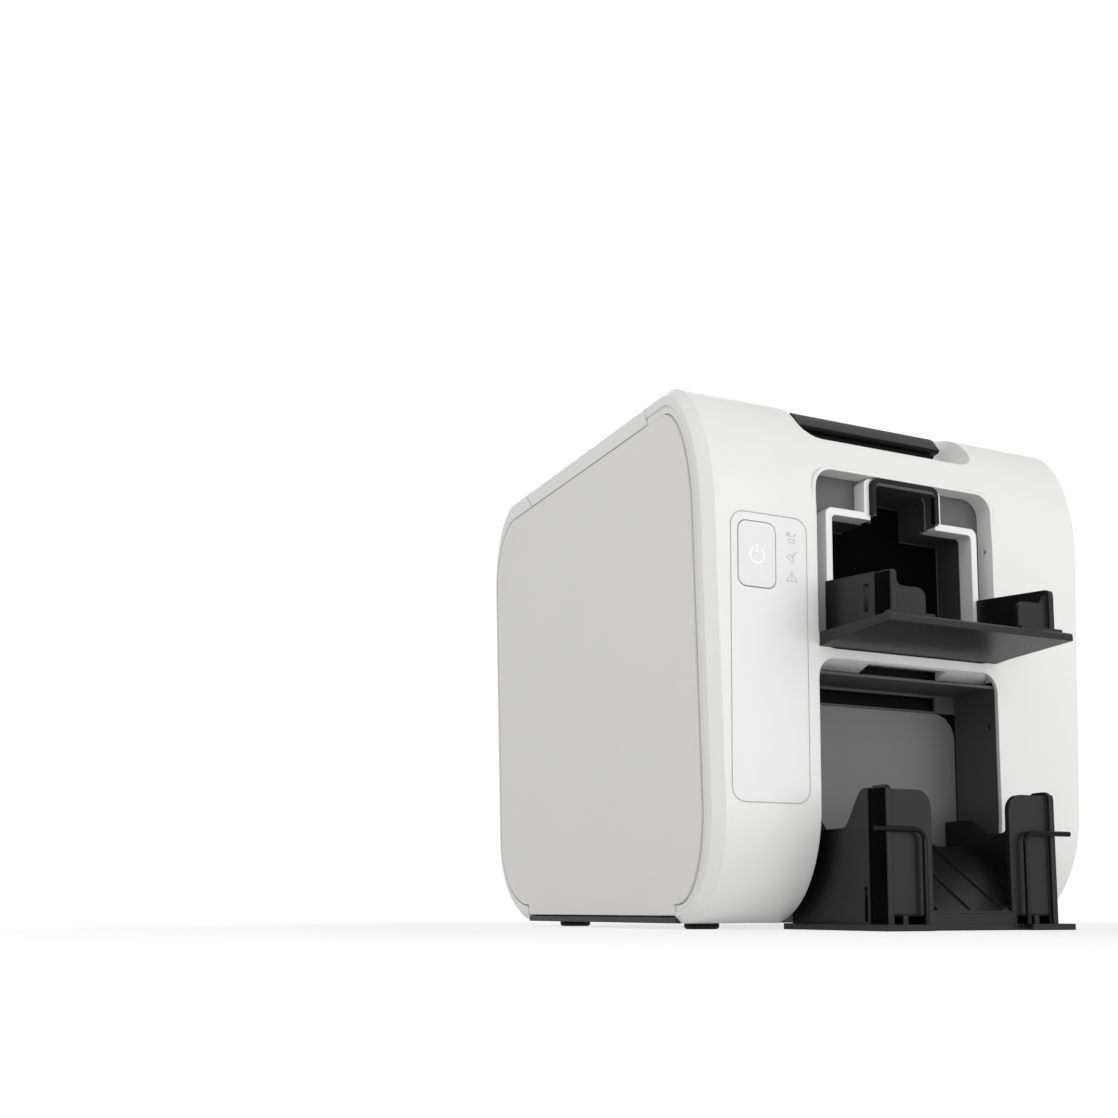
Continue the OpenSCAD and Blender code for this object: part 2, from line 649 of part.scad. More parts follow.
module hopper_tray() color(black) seat() {
    front = -tray_reach - 1;
    top = floor_z + tray_wall_h;
    // Floor, thicker towards the casing and rounded like the opening inside it
    intersection() {
        across(-flange_half, flange_half) polygon([[-tray_reach - lip, floor_z - tray_floor_t],
            [-tray_reach - lip, floor_z - 1], [-tray_reach - lip + 1, floor_z], [reveal - 0.5, floor_z],
            [reveal - 0.5, hopper_low + 0.3], [1, hopper_low + 0.3], [-10, hopper_low + 1.4]]);
        union() {
            box(-far, far, -far, -0.3, 0, far);
            hopper_frame(-0.4, -0.4, reveal);
        }
    }
    both_sides() {
        // Side wall, which falls to its front post, with a slot and the band round the post
        difference() {
            across(tray_half - tray_wall_t, tray_half) polygon(concat([[front, floor_z - 1],
                [rim_front - 0.4, floor_z - 1], [rim_front - 0.4, top + 4.5]],
                    arc_pts([front + 3, top - 3], [3, 3], 90, 180, 4)));
            box(0, far, -tray_reach + 17.5, -tray_reach + 21.5, floor_z + 5, floor_z + 19);
            box(tray_half - band_in, far, front + 1.2, front + 1.2 + tray_band, floor_z + 0.4, far);
        }
        // Tab between the post and the opening for the thumb, with the lip in front of it
        back(front + tab_back, front + tab_back + tab_t) polygon(concat([[tray_half - 2, floor_z - 1]],
            sweep_pts([tray_half - 1, top - 1], [tray_half - 7, top - 7.5], 6),
            arc_pts([tab_gap/2 + 5, top - 12.5], [5, 5], 90, 180, 5), [[tab_gap/2, floor_z - 1]]));
        box(tab_gap/2 - 2, tray_half + 3, front - 2.4, front + tab_back + 0.1, floor_z - 1, floor_z + 2);
    }
}

module stacker_liner() color(dark_grey) seat() intersection() {
    difference() {
        box(-half_mouth - 2, half_mouth + 2, 0, bay_d + 2, foot_h, stacker_top - 6.4);
        box(-half_mouth, half_mouth, -1, bay_d, -1, stacker_top - 8);
        box(-far, far, bay_d - 0.1, far, -1, stacker_top - 18);
        box(-card_w/2 - 1, card_w/2 + 1, bay_d - 1, far, stacker_top - 17, stacker_top - 9.5);
        both_sides() translate([half_mouth - 1, 8, stacker_top - 28]) rotate([0, 90, 0])
            cylinder(h = 5, r = 1.3);
    }
    side_slice(wall + 0.15, 0, 0, wall + 0.15);
}
module stacker_wall() color(mid_grey) seat() difference() {
    translate([0, 0, stacker_top - 18.2 - 100]) back(bay_d, bay_d + 2)
        polygon(round_pts(mouth_w - 1, 200, 14));
    box(-far, far, -far, far, -far, base_plate_t + 0.5);
}
module stacker_tray() color(black) seat() {
    front = -stack_reach;
    difference() {
        // Base with its front lip
        box(-flange_half, flange_half, front - lip + 1, bay_d - 0.2, 0, base_plate_t);
        box(-stack_gap/2 - 6, stack_gap/2 + 6, front - lip, front + 1, -1, far);
    }
    // Ramp that the cards slide down, with ribs
    for (x = [-40:20:40]) across(x - 1.5, x + 1.5)
        polygon([[front + 2.5, base_plate_t - 0.1], [front + 2.5, 10.2], [bay_d - 24, 43.5],
            [bay_d - 24, base_plate_t - 0.1]]);
    across(-stack_half + 1, stack_half - 1)
        polygon([[front + 2.5, 6.7], [front + 2.5, 9.2], [bay_d - 24.2, 42.5], [bay_d - 24.2, 40]]);
    both_sides() {
        // Side wall: it falls from the rear, runs level and sweeps up to its front post
        difference() {
            across(stack_half - 3, stack_half)
                polygon(concat([[front, base_plate_t - 0.1], [bay_d - 0.2, base_plate_t - 0.1],
                [bay_d - 0.2, stack_rear_h]], sweep_pts([18, stack_rear_h], [7, stack_low_h]),
                sweep_pts([-9, stack_low_h], [front + 18, stack_high_h - 0.8]),
                arc_pts([front + stack_band - 3, stack_high_h - 3], [3, 3], 45, 90, 2),
                arc_pts([front + 4, stack_high_h - 4], [4, 4], 90, 180, 5)));
            box(stack_half - band_in, far, front + 0.8, front + 0.8 + stack_band, base_plate_t, far);
            box(0, far, front + stack_band + 2.5, front + stack_band + 5, base_plate_t + 1,
                base_plate_t + 17.5);
        }
        // Tab, with a low gap under it
        difference() {
            back(front + tab_back, front + tab_back + tab_t) polygon(concat(
                [[stack_half - 2, base_plate_t - 0.1], [stack_half - 2, stack_high_h - 2]],
                arc_pts([stack_gap/2 + 8, stack_high_h - 10], [8, 8], 90, 180, 6),
                    [[stack_gap/2, base_plate_t - 0.1]]));
            box(stack_gap/2 + 3, stack_half - 3.5, front, front + 2*tab_t + tab_back, base_plate_t,
                base_plate_t + 4.5);
        }
    }
    box(-stack_gap/2 - 0.1, stack_gap/2 + 0.1, front + tab_back, front + tab_back + tab_t,
        base_plate_t - 1.5, base_plate_t + 5);
}
// Wire stop in front of a tab: across the tab, round a bend and down into the base
module stop_wire() {
    r = wire_d/2;
    bend = 5;
    y = -stack_reach - r - 0.2;
    top = stack_low_h - 2;
    inner = stack_gap/2 + 7;
    bar(inner + bend, stack_half + 8, [y, top], r);
    translate([inner, y, base_plate_t]) cylinder(h = top - bend - base_plate_t, r = r);
    translate([inner + bend, y, top - bend]) rotate([90, 0, 0]) rotate([0, 0, 90])
        rotate_extrude(angle = 90) translate([bend, 0]) circle(r);
}
module left_stop_wire() color([0.08, 0.08, 0.08]) seat() mirror([1, 0, 0]) stop_wire();
module right_stop_wire() color([0.08, 0.08, 0.08]) seat() stop_wire();

// Steel side frame, with its bearing holes; right adds the holes for the gear train
module frame_plate(right) {
    difference() {
        across(frame_in/2, frame_out) {
            polygon([[pick_y - 9.5, axle_z - 9.9], [pick_y - 9.5, path_z + 4.6], [42, path_z + 4.6],
                [42, keeper_at[1] + 5], [60, keeper_at[1] + 5], [66, 205], [hinge_y - 36, 205],
                [hinge_y - 6, hinge_z + 1], [hinge_y - 0.5, hinge_z - 6], [hinge_y - 0.5, hinge_z - 12],
                [heel_start, 200], [heel_start, base_top], [bay_d + 4, base_top], [bay_d + 4, axle_z - 9.9]]);
            translate([hinge_y, hinge_z]) circle(6.5);
        }
        bar(-far, far, [hinge_y, hinge_z], pin_d/2);
        for (y = [pick_y, feed_y, transport_y, platen_y]) bar(-far, far, [y, axle_z], bush_r);
        for (y = [feed_y, transport_y]) bar(-far, far, [y, pinch_z], 2 + fit);
        for (at = [[90, 50], [150, 45], [200, 60], [200, 120]]) bar(-far, far, at, 14);
        if (right) {
            bar(-far, far, [platen_y, pinion_z], 4);
            bar(-far, far, takeup_at, shaft_r + fit);
        }
    }
    // Foot bent out over the base
    box(frame_out - 0.01, frame_out + 12, 60, heel_start - 8, base_top, base_top + frame_t);
}
module left_frame() color(steel) seat() mirror([1, 0, 0]) frame_plate(false);
module right_frame() color(steel) seat() frame_plate(true);
module shaft_bushes() color([0.75, 0.6, 0.35]) seat() both_sides()
    for (y = [pick_y, feed_y, transport_y, platen_y])
    difference() {
        union() {
            bar(frame_in/2, frame_out, [y, axle_z], bush_r);
            bar(frame_in/2 - 1.5, frame_in/2, [y, axle_z], bush_r + 1.2);
        }
        bar(-far, far, [y, axle_z], shaft_r + fit);
    }

module card_deck() color(dark_grey) seat() difference() {
    box(-frame_in/2, frame_in/2, 46, 215, path_z - 0.4 - deck_t, path_z - 0.4);
    for (y = [feed_y, transport_y, platen_y]) box(-roller_w/2 - 1, roller_w/2 + 1, y - 7.2, y + 7.2, 0, far);
}
// Two sheets that lead a card from the deck down to the slot over the stacker
module exit_chute() color(black) seat() {
    y = bay_d + 2.2;
    low = stacker_top - 18.5;
    across(-frame_in/2, frame_in/2)
        polygon([[y, low], [y, low + 1.4], [y + 10.8, path_z - 14.4], [y + 11.8, path_z - 15.4]]);
    across(-frame_in/2, frame_in/2)
        polygon([[y, low + 9.2], [46.5, path_z - 3.2], [47.6, path_z - 3.8], [y + 1.2, low + 8.8]]);
}

module gear(teeth, turn, bore) across(gear_x, gear_x + gear_w) difference() {
    rotate(turn) polygon(gear_pts(teeth));
    circle(bore);
}
module gear_at(at, teeth, turn, bore) translate([0, at[0], at[1]]) gear(teeth, turn, bore);
// Rubber roller on a steel shaft, with its gear
module card_roller(y, teeth, turn) {
    bar(-frame_out, gear_x + gear_w, [y, axle_z], shaft_r);
    bar(-roller_w/2, roller_w/2, [y, axle_z], roller_r - 0.1);
    gear_at([y, axle_z], teeth, turn, shaft_r - 0.01);
}
module pick_roller() color(black) seat() card_roller(pick_y, pick_teeth, turn_pick);
module feed_roller() color(black) seat() card_roller(feed_y, roller_teeth, turn_feed);
module transport_roller() color(black) seat() card_roller(transport_y, roller_teeth, turn_transport);
module platen_roller() color(black) seat() card_roller(platen_y, roller_teeth, 0);
module pick_idler() color(white) seat() gear_at([pick_idler_y, axle_z], idler_teeth, turn_pick_idler,
    stud_r + fit);
module feed_idler() color(white) seat() gear_at([feed_idler_y, axle_z], idler_teeth, turn_feed_idler,
    stud_r + fit);
module transport_idler() color(white) seat()
    gear_at([transport_idler_y, axle_z], idler_teeth, turn_transport_idler, stud_r + fit);
module drive_gear() color(white) seat() gear_at([platen_y, drive_z], drive_teeth, turn_drive, stud_r + fit);
module drive_pinion() color([0.8, 0.65, 0.3]) seat() {
    gear_at([platen_y, pinion_z], pinion_teeth, turn_pinion, shaft_r - 0.6);
    bar(frame_in/2 - 5, gear_x + gear_w + 0.5, [platen_y, pinion_z], shaft_r - 0.5);
}
module gear_studs() color(steel) seat()
    for (at = [[pick_idler_y, axle_z], [feed_idler_y, axle_z], [transport_idler_y, axle_z],
        [platen_y, drive_z]]) {
        bar(frame_out, gear_x + gear_w + 0.4, at, stud_r);
        bar(gear_x + gear_w + 0.3, gear_x + gear_w + 1.3, at, stud_r + 1.2);
    }
module drive_motor() color([0.2, 0.2, 0.21]) seat() difference() {
    translate([0, platen_y, pinion_z]) across(frame_in/2 - 28, frame_in/2) polygon(round_pts(35, 35, 4));
    bar(frame_in/2 - 6, far, [platen_y, pinion_z], shaft_r - 0.5 + fit);
}
module cleaning_roller() color([0.35, 0.6, 0.85]) seat() pinch(feed_y);
module pinch_roller() color(steel) seat() pinch(transport_y);
module pinch(y) {
    bar(-frame_out, frame_out, [y, pinch_z], 2);
    bar(-roller_w/2 + 1, roller_w/2 - 1, [y, pinch_z], pinch_r);
}

// Sheet-metal carrier that hangs the print head from the lid
module head_carrier() color(steel) seat() difference() {
    union() {
        box(-head_half, head_half, platen_y - 14, platen_y + 14, carrier_top - frame_t, carrier_top);
        both_sides() box(head_half - frame_t, head_half, platen_y - 8, platen_y + 8, shelf_z, carrier_top);
        box(-head_half, head_half, platen_y - 8, platen_y + 8, shelf_z, shelf_z + frame_t);
    }
    both_sides() for (y = [platen_y - 9, platen_y + 9]) translate([36, y, 0]) cylinder(h = far, r = 1.6);
    both_sides() translate([30, platen_y, 0]) cylinder(h = shelf_z + 10, r = 2.6);
}
module print_head() color([0.75, 0.75, 0.78]) seat() {
    // Aluminium block with cooling fins, the ceramic edge under it and two guide studs over it
    across(-head_half + 1, head_half - 1) polygon([[platen_y - 7, film_z + 6], [platen_y - 7, film_z + 16],
        [platen_y + 7, film_z + 16], [platen_y + 7, film_z + 6], [platen_y + 2, film_z + 1.2],
        [platen_y + 1, film_z + 0.15], [platen_y - 1, film_z + 0.15], [platen_y - 2, film_z + 1.2]]);
    for (x = [-38:4:38]) if (abs(abs(x) - 30) > 3 && abs(abs(x) - 14) > 5)
        box(x - 0.6, x + 0.6, platen_y - 6, platen_y + 6, film_z + 15.9, film_z + 22);
    both_sides() translate([30, platen_y, film_z + 15]) cylinder(h = shelf_z + 4 - film_z - 15, r = 2.5);
}
module head_springs() color(steel) seat() both_sides() translate([14, platen_y, film_z + 16]) difference() {
    cylinder(h = shelf_z - film_z - 16, r = 4);
    translate([0, 0, -1]) cylinder(h = far, r = 3);
}

module ribbon_cartridge() color([0.2, 0.35, 0.6]) seat() {
    rods = [platen_y - rod_gap, platen_y + rod_gap];
    ends = [takeup_at[0] - spool_r - 6, supply_at[0] + spool_r + 6];
    both_sides() difference() {
        across(cheek_in, cheek_in + cheek_t) {
            translate(takeup_at) circle(10);
            translate(supply_at) circle(10);
            polygon([[ends[0], takeup_at[1]], [ends[0], supply_at[1] + 14], [ends[1], supply_at[1] + 14],
                [ends[1], supply_at[1] - 2], [supply_at[0] - 8, supply_at[1] - 2],
                [takeup_at[0] + 8, takeup_at[1] + 8]]);
            for (y = rods) translate([y - 4, film_z + 0.2]) square([8, supply_at[1] - film_z]);
        }
        for (at = [takeup_at, supply_at]) bar(0, far, at, 4 + fit);
    }
    for (y = rods) bar(-cheek_in - 0.1, cheek_in + 0.1, [y, film_z + rod_r], rod_r);
    for (y = [ends[0], ends[1] - 4])
        box(-cheek_in - 0.1, cheek_in + 0.1, y, y + 4, supply_at[1] + 4, supply_at[1] + 14);
    // Ears that rest the cartridge between the side frames
    both_sides() for (y = [takeup_at[0] + 2, supply_at[0] - 8])
        box(cheek_in + cheek_t - 0.1, frame_in/2 - 0.3, y, y + 6, supply_at[1] + 4, supply_at[1] + 12);
}
module spool(at, r) {
    bar(-cheek_in - cheek_t, cheek_in + cheek_t, at, 4);
    bar(-ribbon_w/2, ribbon_w/2, at, r);
    both_sides() bar(ribbon_w/2 - 0.1, ribbon_w/2 + 1.2, at, spool_r);
}
module supply_spool() color([0.85, 0.2, 0.35]) seat() spool(supply_at, supply_r);
module takeup_spool() color([0.3, 0.2, 0.3]) seat() spool(takeup_at, takeup_r);
module takeup_gear() color(white) seat() {
    gear_at(takeup_at, takeup_teeth, 0, shaft_r - 0.01);
    bar(cheek_in + cheek_t + 0.2, gear_x + gear_w, takeup_at, shaft_r);
    bar(cheek_in + cheek_t + 0.2, frame_in/2 - 0.3, takeup_at, shaft_r + 2);
}
// Point where a line from p touches the circle of radius r at c, on the side given by s
function touch(p, c, r, s) =
    let (d = p - c, a = atan2(d[1], d[0]) + s*acos(r/norm(d))) c + r*[cos(a), sin(a)];
// Outline of a strip of thickness t along the points p
function strip_pts(p, t) =
    let (n = len(p), side = [for (i = [0:n - 1])
        let (d = p[min(i + 1, n - 1)] - p[max(i - 1, 0)]) t/2*[-d[1], d[0]]/norm(d)])
    concat([for (i = [0:n - 1]) p[i] + side[i]], [for (i = [n - 1:-1:0]) p[i] - side[i]]);
module ribbon_film() color([0.15, 0.1, 0.2]) seat() {
    y0 = platen_y - rod_gap;
    y1 = platen_y + rod_gap;
    level = film_z - ribbon_t/2;
    front = [y0 - 2.4, level + 1.2];
    rear = [y1 + 2.4, level + 1.2];
    across(-ribbon_w/2 + 1, ribbon_w/2 - 1) polygon(strip_pts([
        touch(front, takeup_at, takeup_r + ribbon_t, 1), front, [y0 - 1, level], [y1 + 1, level], rear,
        touch(rear, supply_at, supply_r + ribbon_t, -1)], ribbon_t));
}

module ribbon_pinion() color([0.8, 0.65, 0.3]) seat() {
    gear_at(ribbon_pinion_at, pinion_teeth, mesh_turn(motor_turn, takeup_teeth, 0, pinion_teeth), 1.4);
    bar(gear_x - 0.3, bracket_in + 8, ribbon_pinion_at, 1.5);
}
module motor_bracket() color(steel) seat() {
    y = ribbon_pinion_at[0];
    z = ribbon_pinion_at[1];
    difference() {
        box(bracket_in, bracket_in + frame_t, y - 14, y + 14, z - 15, z + 27);
        bar(0, far, ribbon_pinion_at, 4);
    }
    for (at = [[y - 10, z - 12], [y - 10, z + 15], [y, z + 23]]) bar(frame_out, bracket_in + 0.1, at, 3);
}
module ribbon_motor() color(steel) seat() difference() {
    bar(bracket_in + frame_t, bracket_in + frame_t + 20, ribbon_pinion_at, 12);
    bar(0, bracket_in + 9, ribbon_pinion_at, 1.5 + fit);
}

module board_bracket() color(steel) seat() {
    across(bracket_x, bracket_x + 1.2) polygon([[board_rear - board_l - 5, base_top],
        [heel_start - 6, base_top],
        [heel_start - 6, board_low - 25], [board_rear - 6, board_low],
            [board_rear - 6, board_low + board_h + 6],
        [board_rear - board_l - 5, board_low + board_h + 6]]);
    box(bracket_x, bracket_x + 14, board_rear - board_l, heel_start - 10, base_top, base_top + 1.2);
    for (y = [board_rear - board_l + 6, board_rear - 12]) for (z = [board_low + 6, board_low + board_h - 6])
        bar(bracket_x + 1.1, board_x, [y, z], 2.5);
}
module main_board() color([0.1, 0.35, 0.2]) seat() {
    top = board_x + board_t;
    y0 = board_rear - board_l;
    box(board_x, top, y0, board_rear, board_low, board_low + board_h);
    box(top - 0.1, top + 2, y0 + 50, y0 + 74, board_low + 50, board_low + 74);
    box(top - 0.1, top + 1.5, y0 + 92, y0 + 106, board_low + 70, board_low + 84);
    box(top - 0.1, top + 1.5, y0 + 90, y0 + 100, board_low + 30, board_low + 46);
    for (i = [0:2]) bar(top - 0.1, top + 13, [y0 + 22, board_low + 30 + 16*i], 5);
    for (i = [0:3]) box(top - 0.1, top + 6, y0 + 36 + 22*i, y0 + 50 + 22*i, board_low + board_h - 12,
        board_low + board_h - 6);
}
module socket(z, h) difference() {
    box(board_x + board_t + 0.1, board_x + board_t + 13, board_rear - 6, body_d - 0.8, z - h/2, z + h/2);
    children();
}
module power_inlet() color(black) seat() {
    socket(inlet_z, 14) peg(body_d - 14, far, board_x + board_t + 6.6, inlet_z, 4.2);
    peg(body_d - 14.1, body_d - 3, board_x + board_t + 6.6, inlet_z, 1);
}
module usb_socket() color(steel) seat()
    socket(usb_z, 12) difference() {
        box(board_x + board_t + 1.6, board_x + board_t + 11.6, body_d - 12, far, usb_z - 4.8, usb_z + 4.8);
        box(board_x + board_t + 4, board_x + board_t + 9, body_d - 13, body_d - 3, usb_z - 1.6, usb_z + 1.6);
    }
module frame_screws() color(steel) seat() both_sides() for (y = [70, 145, heel_start - 18])
    translate([frame_out + 7, y, base_top + frame_t]) cylinder(h = 2.2, r = 3);

front_shell();
left_side_panel();
right_side_panel();
rear_cover();
base_plate();
feet();
top_lid();
latch_bar();
latch_pin();
hinge_pins();
latch_keeper();
control_strip();
power_button();
light_guides();
panel_board();
hopper_bezel();
hopper_rim();
hopper_tunnel();
hopper_tray();
stacker_liner();
stacker_wall();
stacker_tray();
left_stop_wire();
right_stop_wire();
left_frame();
right_frame();
card_deck();
exit_chute();
shaft_bushes();
pick_roller();
feed_roller();
transport_roller();
platen_roller();
pick_idler();
feed_idler();
transport_idler();
drive_gear();
drive_pinion();
gear_studs();
drive_motor();
cleaning_roller();
pinch_roller();
head_carrier();
print_head();
head_springs();
ribbon_cartridge();
supply_spool();
takeup_spool();
takeup_gear();
ribbon_film();
ribbon_motor();
ribbon_pinion();
motor_bracket();
board_bracket();
main_board();
power_inlet();
usb_socket();
frame_screws();
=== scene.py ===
import math

import bmesh
import bpy
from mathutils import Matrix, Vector


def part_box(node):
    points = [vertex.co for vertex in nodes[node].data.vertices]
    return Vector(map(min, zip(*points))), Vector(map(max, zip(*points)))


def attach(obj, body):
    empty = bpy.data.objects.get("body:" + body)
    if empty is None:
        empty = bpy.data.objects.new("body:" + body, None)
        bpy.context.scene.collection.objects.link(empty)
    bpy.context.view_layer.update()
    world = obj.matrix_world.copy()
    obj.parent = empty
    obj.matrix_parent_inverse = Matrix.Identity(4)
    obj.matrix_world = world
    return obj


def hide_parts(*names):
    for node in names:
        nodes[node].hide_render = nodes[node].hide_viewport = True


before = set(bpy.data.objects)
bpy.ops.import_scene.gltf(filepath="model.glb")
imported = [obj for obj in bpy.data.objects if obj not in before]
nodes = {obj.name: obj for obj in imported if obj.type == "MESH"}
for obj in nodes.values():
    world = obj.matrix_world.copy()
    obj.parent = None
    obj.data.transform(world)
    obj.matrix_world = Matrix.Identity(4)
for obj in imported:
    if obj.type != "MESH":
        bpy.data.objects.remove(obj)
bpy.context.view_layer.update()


# ---------------------------------------------------------------- Camera
# The printer is seen from low at its left front corner, almost at desk height. The lens is
# shifted a little, as a product photographer does to keep the upright edges upright.
lens = bpy.data.cameras.new("product_camera")
lens.sensor_width = 36.0
lens.lens = 45.95
lens.shift_x = -0.100
lens.shift_y = 0.105
lens.clip_start = 0.01
camera = bpy.data.objects.new("product_camera", lens)
camera.location = (-0.4543, -0.6999, 0.0101)
camera.rotation_euler = (math.radians(90 + 9.26), 0, math.radians(-28.14))
scene = bpy.context.scene
scene.collection.objects.link(camera)
scene.camera = camera


# ---------------------------------------------------------------- Studio light
# Large soft boxes stand round the table: two in front, a long low one that lights the undersides,
# and weaker ones on the left and behind. Camera, gloss and clear parts see plain white.
scene.view_settings.view_transform = "Standard"


def node_tree(owner):
    owner.use_nodes = True
    tree = owner.node_tree
    tree.nodes.clear()
    return tree, tree.nodes, tree.links


def seen_directly(n, link):
    """1 for a ray from the camera, from gloss or through a clear part, else 0."""
    path = n.new("ShaderNodeLightPath")
    seen = path.outputs["Is Camera Ray"]
    for kind in ("Is Glossy Ray", "Is Transmission Ray"):
        either = n.new("ShaderNodeMath")
        either.operation = "MAXIMUM"
        link.new(seen, either.inputs[0])
        link.new(path.outputs[kind], either.inputs[1])
        seen = either.outputs[0]
    return seen


def studio_room(strength):
    world = bpy.data.worlds.new("studio_room")
    scene.world = world
    tree, n, link = node_tree(world)
    out = n.new("ShaderNodeOutputWorld")
    mix = n.new("ShaderNodeMixShader")
    backdrop = n.new("ShaderNodeBackground")
    backdrop.inputs["Color"].default_value = (1, 1, 1, 1)
    backdrop.inputs["Strength"].default_value = 1.0
    light = n.new("ShaderNodeBackground")
    light.inputs["Color"].default_value = (1, 1, 1, 1)
    light.inputs["Strength"].default_value = strength
    link.new(seen_directly(n, link), mix.inputs["Fac"])
    link.new(light.outputs[0], mix.inputs[1])
    link.new(backdrop.outputs[0], mix.inputs[2])
    link.new(mix.outputs[0], out.inputs["Surface"])


def soft_box(name, place, aim, size, power):
    lamp = bpy.data.lights.new(name, "AREA")
    lamp.shape = "RECTANGLE"
    lamp.size, lamp.size_y = size
    lamp.energy = power
    box = bpy.data.objects.new(name, lamp)
    box.location = place
    box.rotation_euler = (Vector(aim) - Vector(place)).to_track_quat("-Z", "Y").to_euler()
    scene.collection.objects.link(box)


studio_room(0.44)
soft_box("key_softbox", (0.65, -1.65, 0.80), (0.0, 0.0, 0.10), (1.1, 1.1), 4.6)
soft_box("front_softbox", (-0.40, -1.85, 0.45), (0.0, 0.0, 0.10), (0.9, 0.9), 4.4)
soft_box("low_softbox", (0.10, -1.40, 0.10), (0.0, 0.0, 0.18), (1.4, 0.18), 3.6)
soft_box("left_softbox", (-1.6, -0.35, 0.9), (0.0, 0.0, 0.14), (1.0, 1.0), 5.0)
soft_box("rear_softbox", (0.4, 1.7, 1.3), (0.0, 0.0, 0.14), (1.2, 1.0), 8.0)


# ---------------------------------------------------------------- Table
# A round white table under a white sweep. Near the machine it takes the machine's shadow,
# and further out it fades into the white of the room.
table_r = 6.0
fade_start = 0.20
fade_end = 0.50


def white_table():
    mat = bpy.data.materials.new("Table white")
    tree, n, link = node_tree(mat)
    out = n.new("ShaderNodeOutputMaterial")
    paint = n.new("ShaderNodeBsdfDiffuse")
    paint.inputs["Color"].default_value = (0.93, 0.93, 0.93, 1)
    glow = n.new("ShaderNodeEmission")
    glow.inputs["Color"].default_value = (1, 1, 1, 1)
    glow.inputs["Strength"].default_value = 1.0
    where = n.new("ShaderNodeTexCoord")
    reach = n.new("ShaderNodeVectorMath")
    reach.operation = "LENGTH"
    link.new(where.outputs["Object"], reach.inputs[0])
    fade = n.new("ShaderNodeMapRange")
    fade.interpolation_type = "SMOOTHSTEP"
    fade.inputs["From Min"].default_value = fade_start
    fade.inputs["From Max"].default_value = fade_end
    fade.inputs["To Min"].default_value = 0.74
    fade.inputs["To Max"].default_value = 1.0
    link.new(reach.outputs["Value"], fade.inputs["Value"])
    shown = n.new("ShaderNodeMath")
    shown.operation = "MULTIPLY"
    link.new(fade.outputs["Result"], shown.inputs[0])
    link.new(seen_directly(n, link), shown.inputs[1])
    mix = n.new("ShaderNodeMixShader")
    link.new(shown.outputs[0], mix.inputs["Fac"])
    link.new(paint.outputs[0], mix.inputs[1])
    link.new(glow.outputs[0], mix.inputs[2])
    link.new(mix.outputs[0], out.inputs["Surface"])
    return mat


table_mesh = bpy.data.meshes.new("table")
table_mesh.from_pydata(
    [(table_r * math.cos(math.radians(a)), table_r * math.sin(math.radians(a)), 0) for a in range(0, 360, 5)],
    [], [tuple(range(72))])
table = bpy.data.objects.new("table", table_mesh)
scene.collection.objects.link(table)
table_mesh.materials.append(white_table())


# ---------------------------------------------------------------- White casing
# The front, lid and rear cover are injection-moulded ABS in one warm white, with the fine
# even spark texture that hides fingerprints. They meet at narrow shut lines.
def moulded(name, shade, rough, grain=1500.0, relief=0.00003, drift=0.03, edge=0.0006, spec=0.5):
    """Moulded plastic: a fine tool texture, slow drift in shade and gloss, softly broken edges."""
    mat = bpy.data.materials.new(name)
    tree, n, link = node_tree(mat)
    out = n.new("ShaderNodeOutputMaterial")
    bsdf = n.new("ShaderNodeBsdfPrincipled")
    bsdf.inputs["Specular IOR Level"].default_value = spec
    link.new(bsdf.outputs[0], out.inputs["Surface"])
    where = n.new("ShaderNodeTexCoord")
    # Slow drift in shade, as pigment settles in the melt
    slow = n.new("ShaderNodeTexNoise")
    slow.inputs["Scale"].default_value = 14.0
    slow.inputs["Detail"].default_value = 3.0
    link.new(where.outputs["Object"], slow.inputs["Vector"])
    shades = n.new("ShaderNodeValToRGB")
    shades.color_ramp.elements[0].position = 0.3
    shades.color_ramp.elements[1].position = 0.7
    shades.color_ramp.elements[0].color = (*[c * (1 - drift) for c in shade], 1)
    shades.color_ramp.elements[1].color = (*[min(1, c * (1 + drift)) for c in shade], 1)
    link.new(slow.outputs["Fac"], shades.inputs["Fac"])
    link.new(shades.outputs["Color"], bsdf.inputs["Base Color"])
    # Tool texture: fine noise in the bump and a little in the gloss
    fine = n.new("ShaderNodeTexNoise")
    fine.inputs["Scale"].default_value = grain
    fine.inputs["Detail"].default_value = 2.0
    link.new(where.outputs["Object"], fine.inputs["Vector"])
    gloss = n.new("ShaderNodeMapRange")
    gloss.inputs["From Min"].default_value = 0.25
    gloss.inputs["From Max"].default_value = 0.75
    gloss.inputs["To Min"].default_value = rough - 0.04
    gloss.inputs["To Max"].default_value = rough + 0.05
    link.new(fine.outputs["Fac"], gloss.inputs["Value"])
    link.new(gloss.outputs["Result"], bsdf.inputs["Roughness"])
    bump = n.new("ShaderNodeBump")
    bump.inputs["Strength"].default_value = 0.5
    bump.inputs["Distance"].default_value = relief
    link.new(fine.outputs["Fac"], bump.inputs["Height"])
    if edge:
        soft = n.new("ShaderNodeBevel")
        soft.samples = 4
        soft.inputs["Radius"].default_value = edge
        link.new(soft.outputs["Normal"], bump.inputs["Normal"])
    link.new(bump.outputs["Normal"], bsdf.inputs["Normal"])
    return mat


arc_step = math.radians(21)


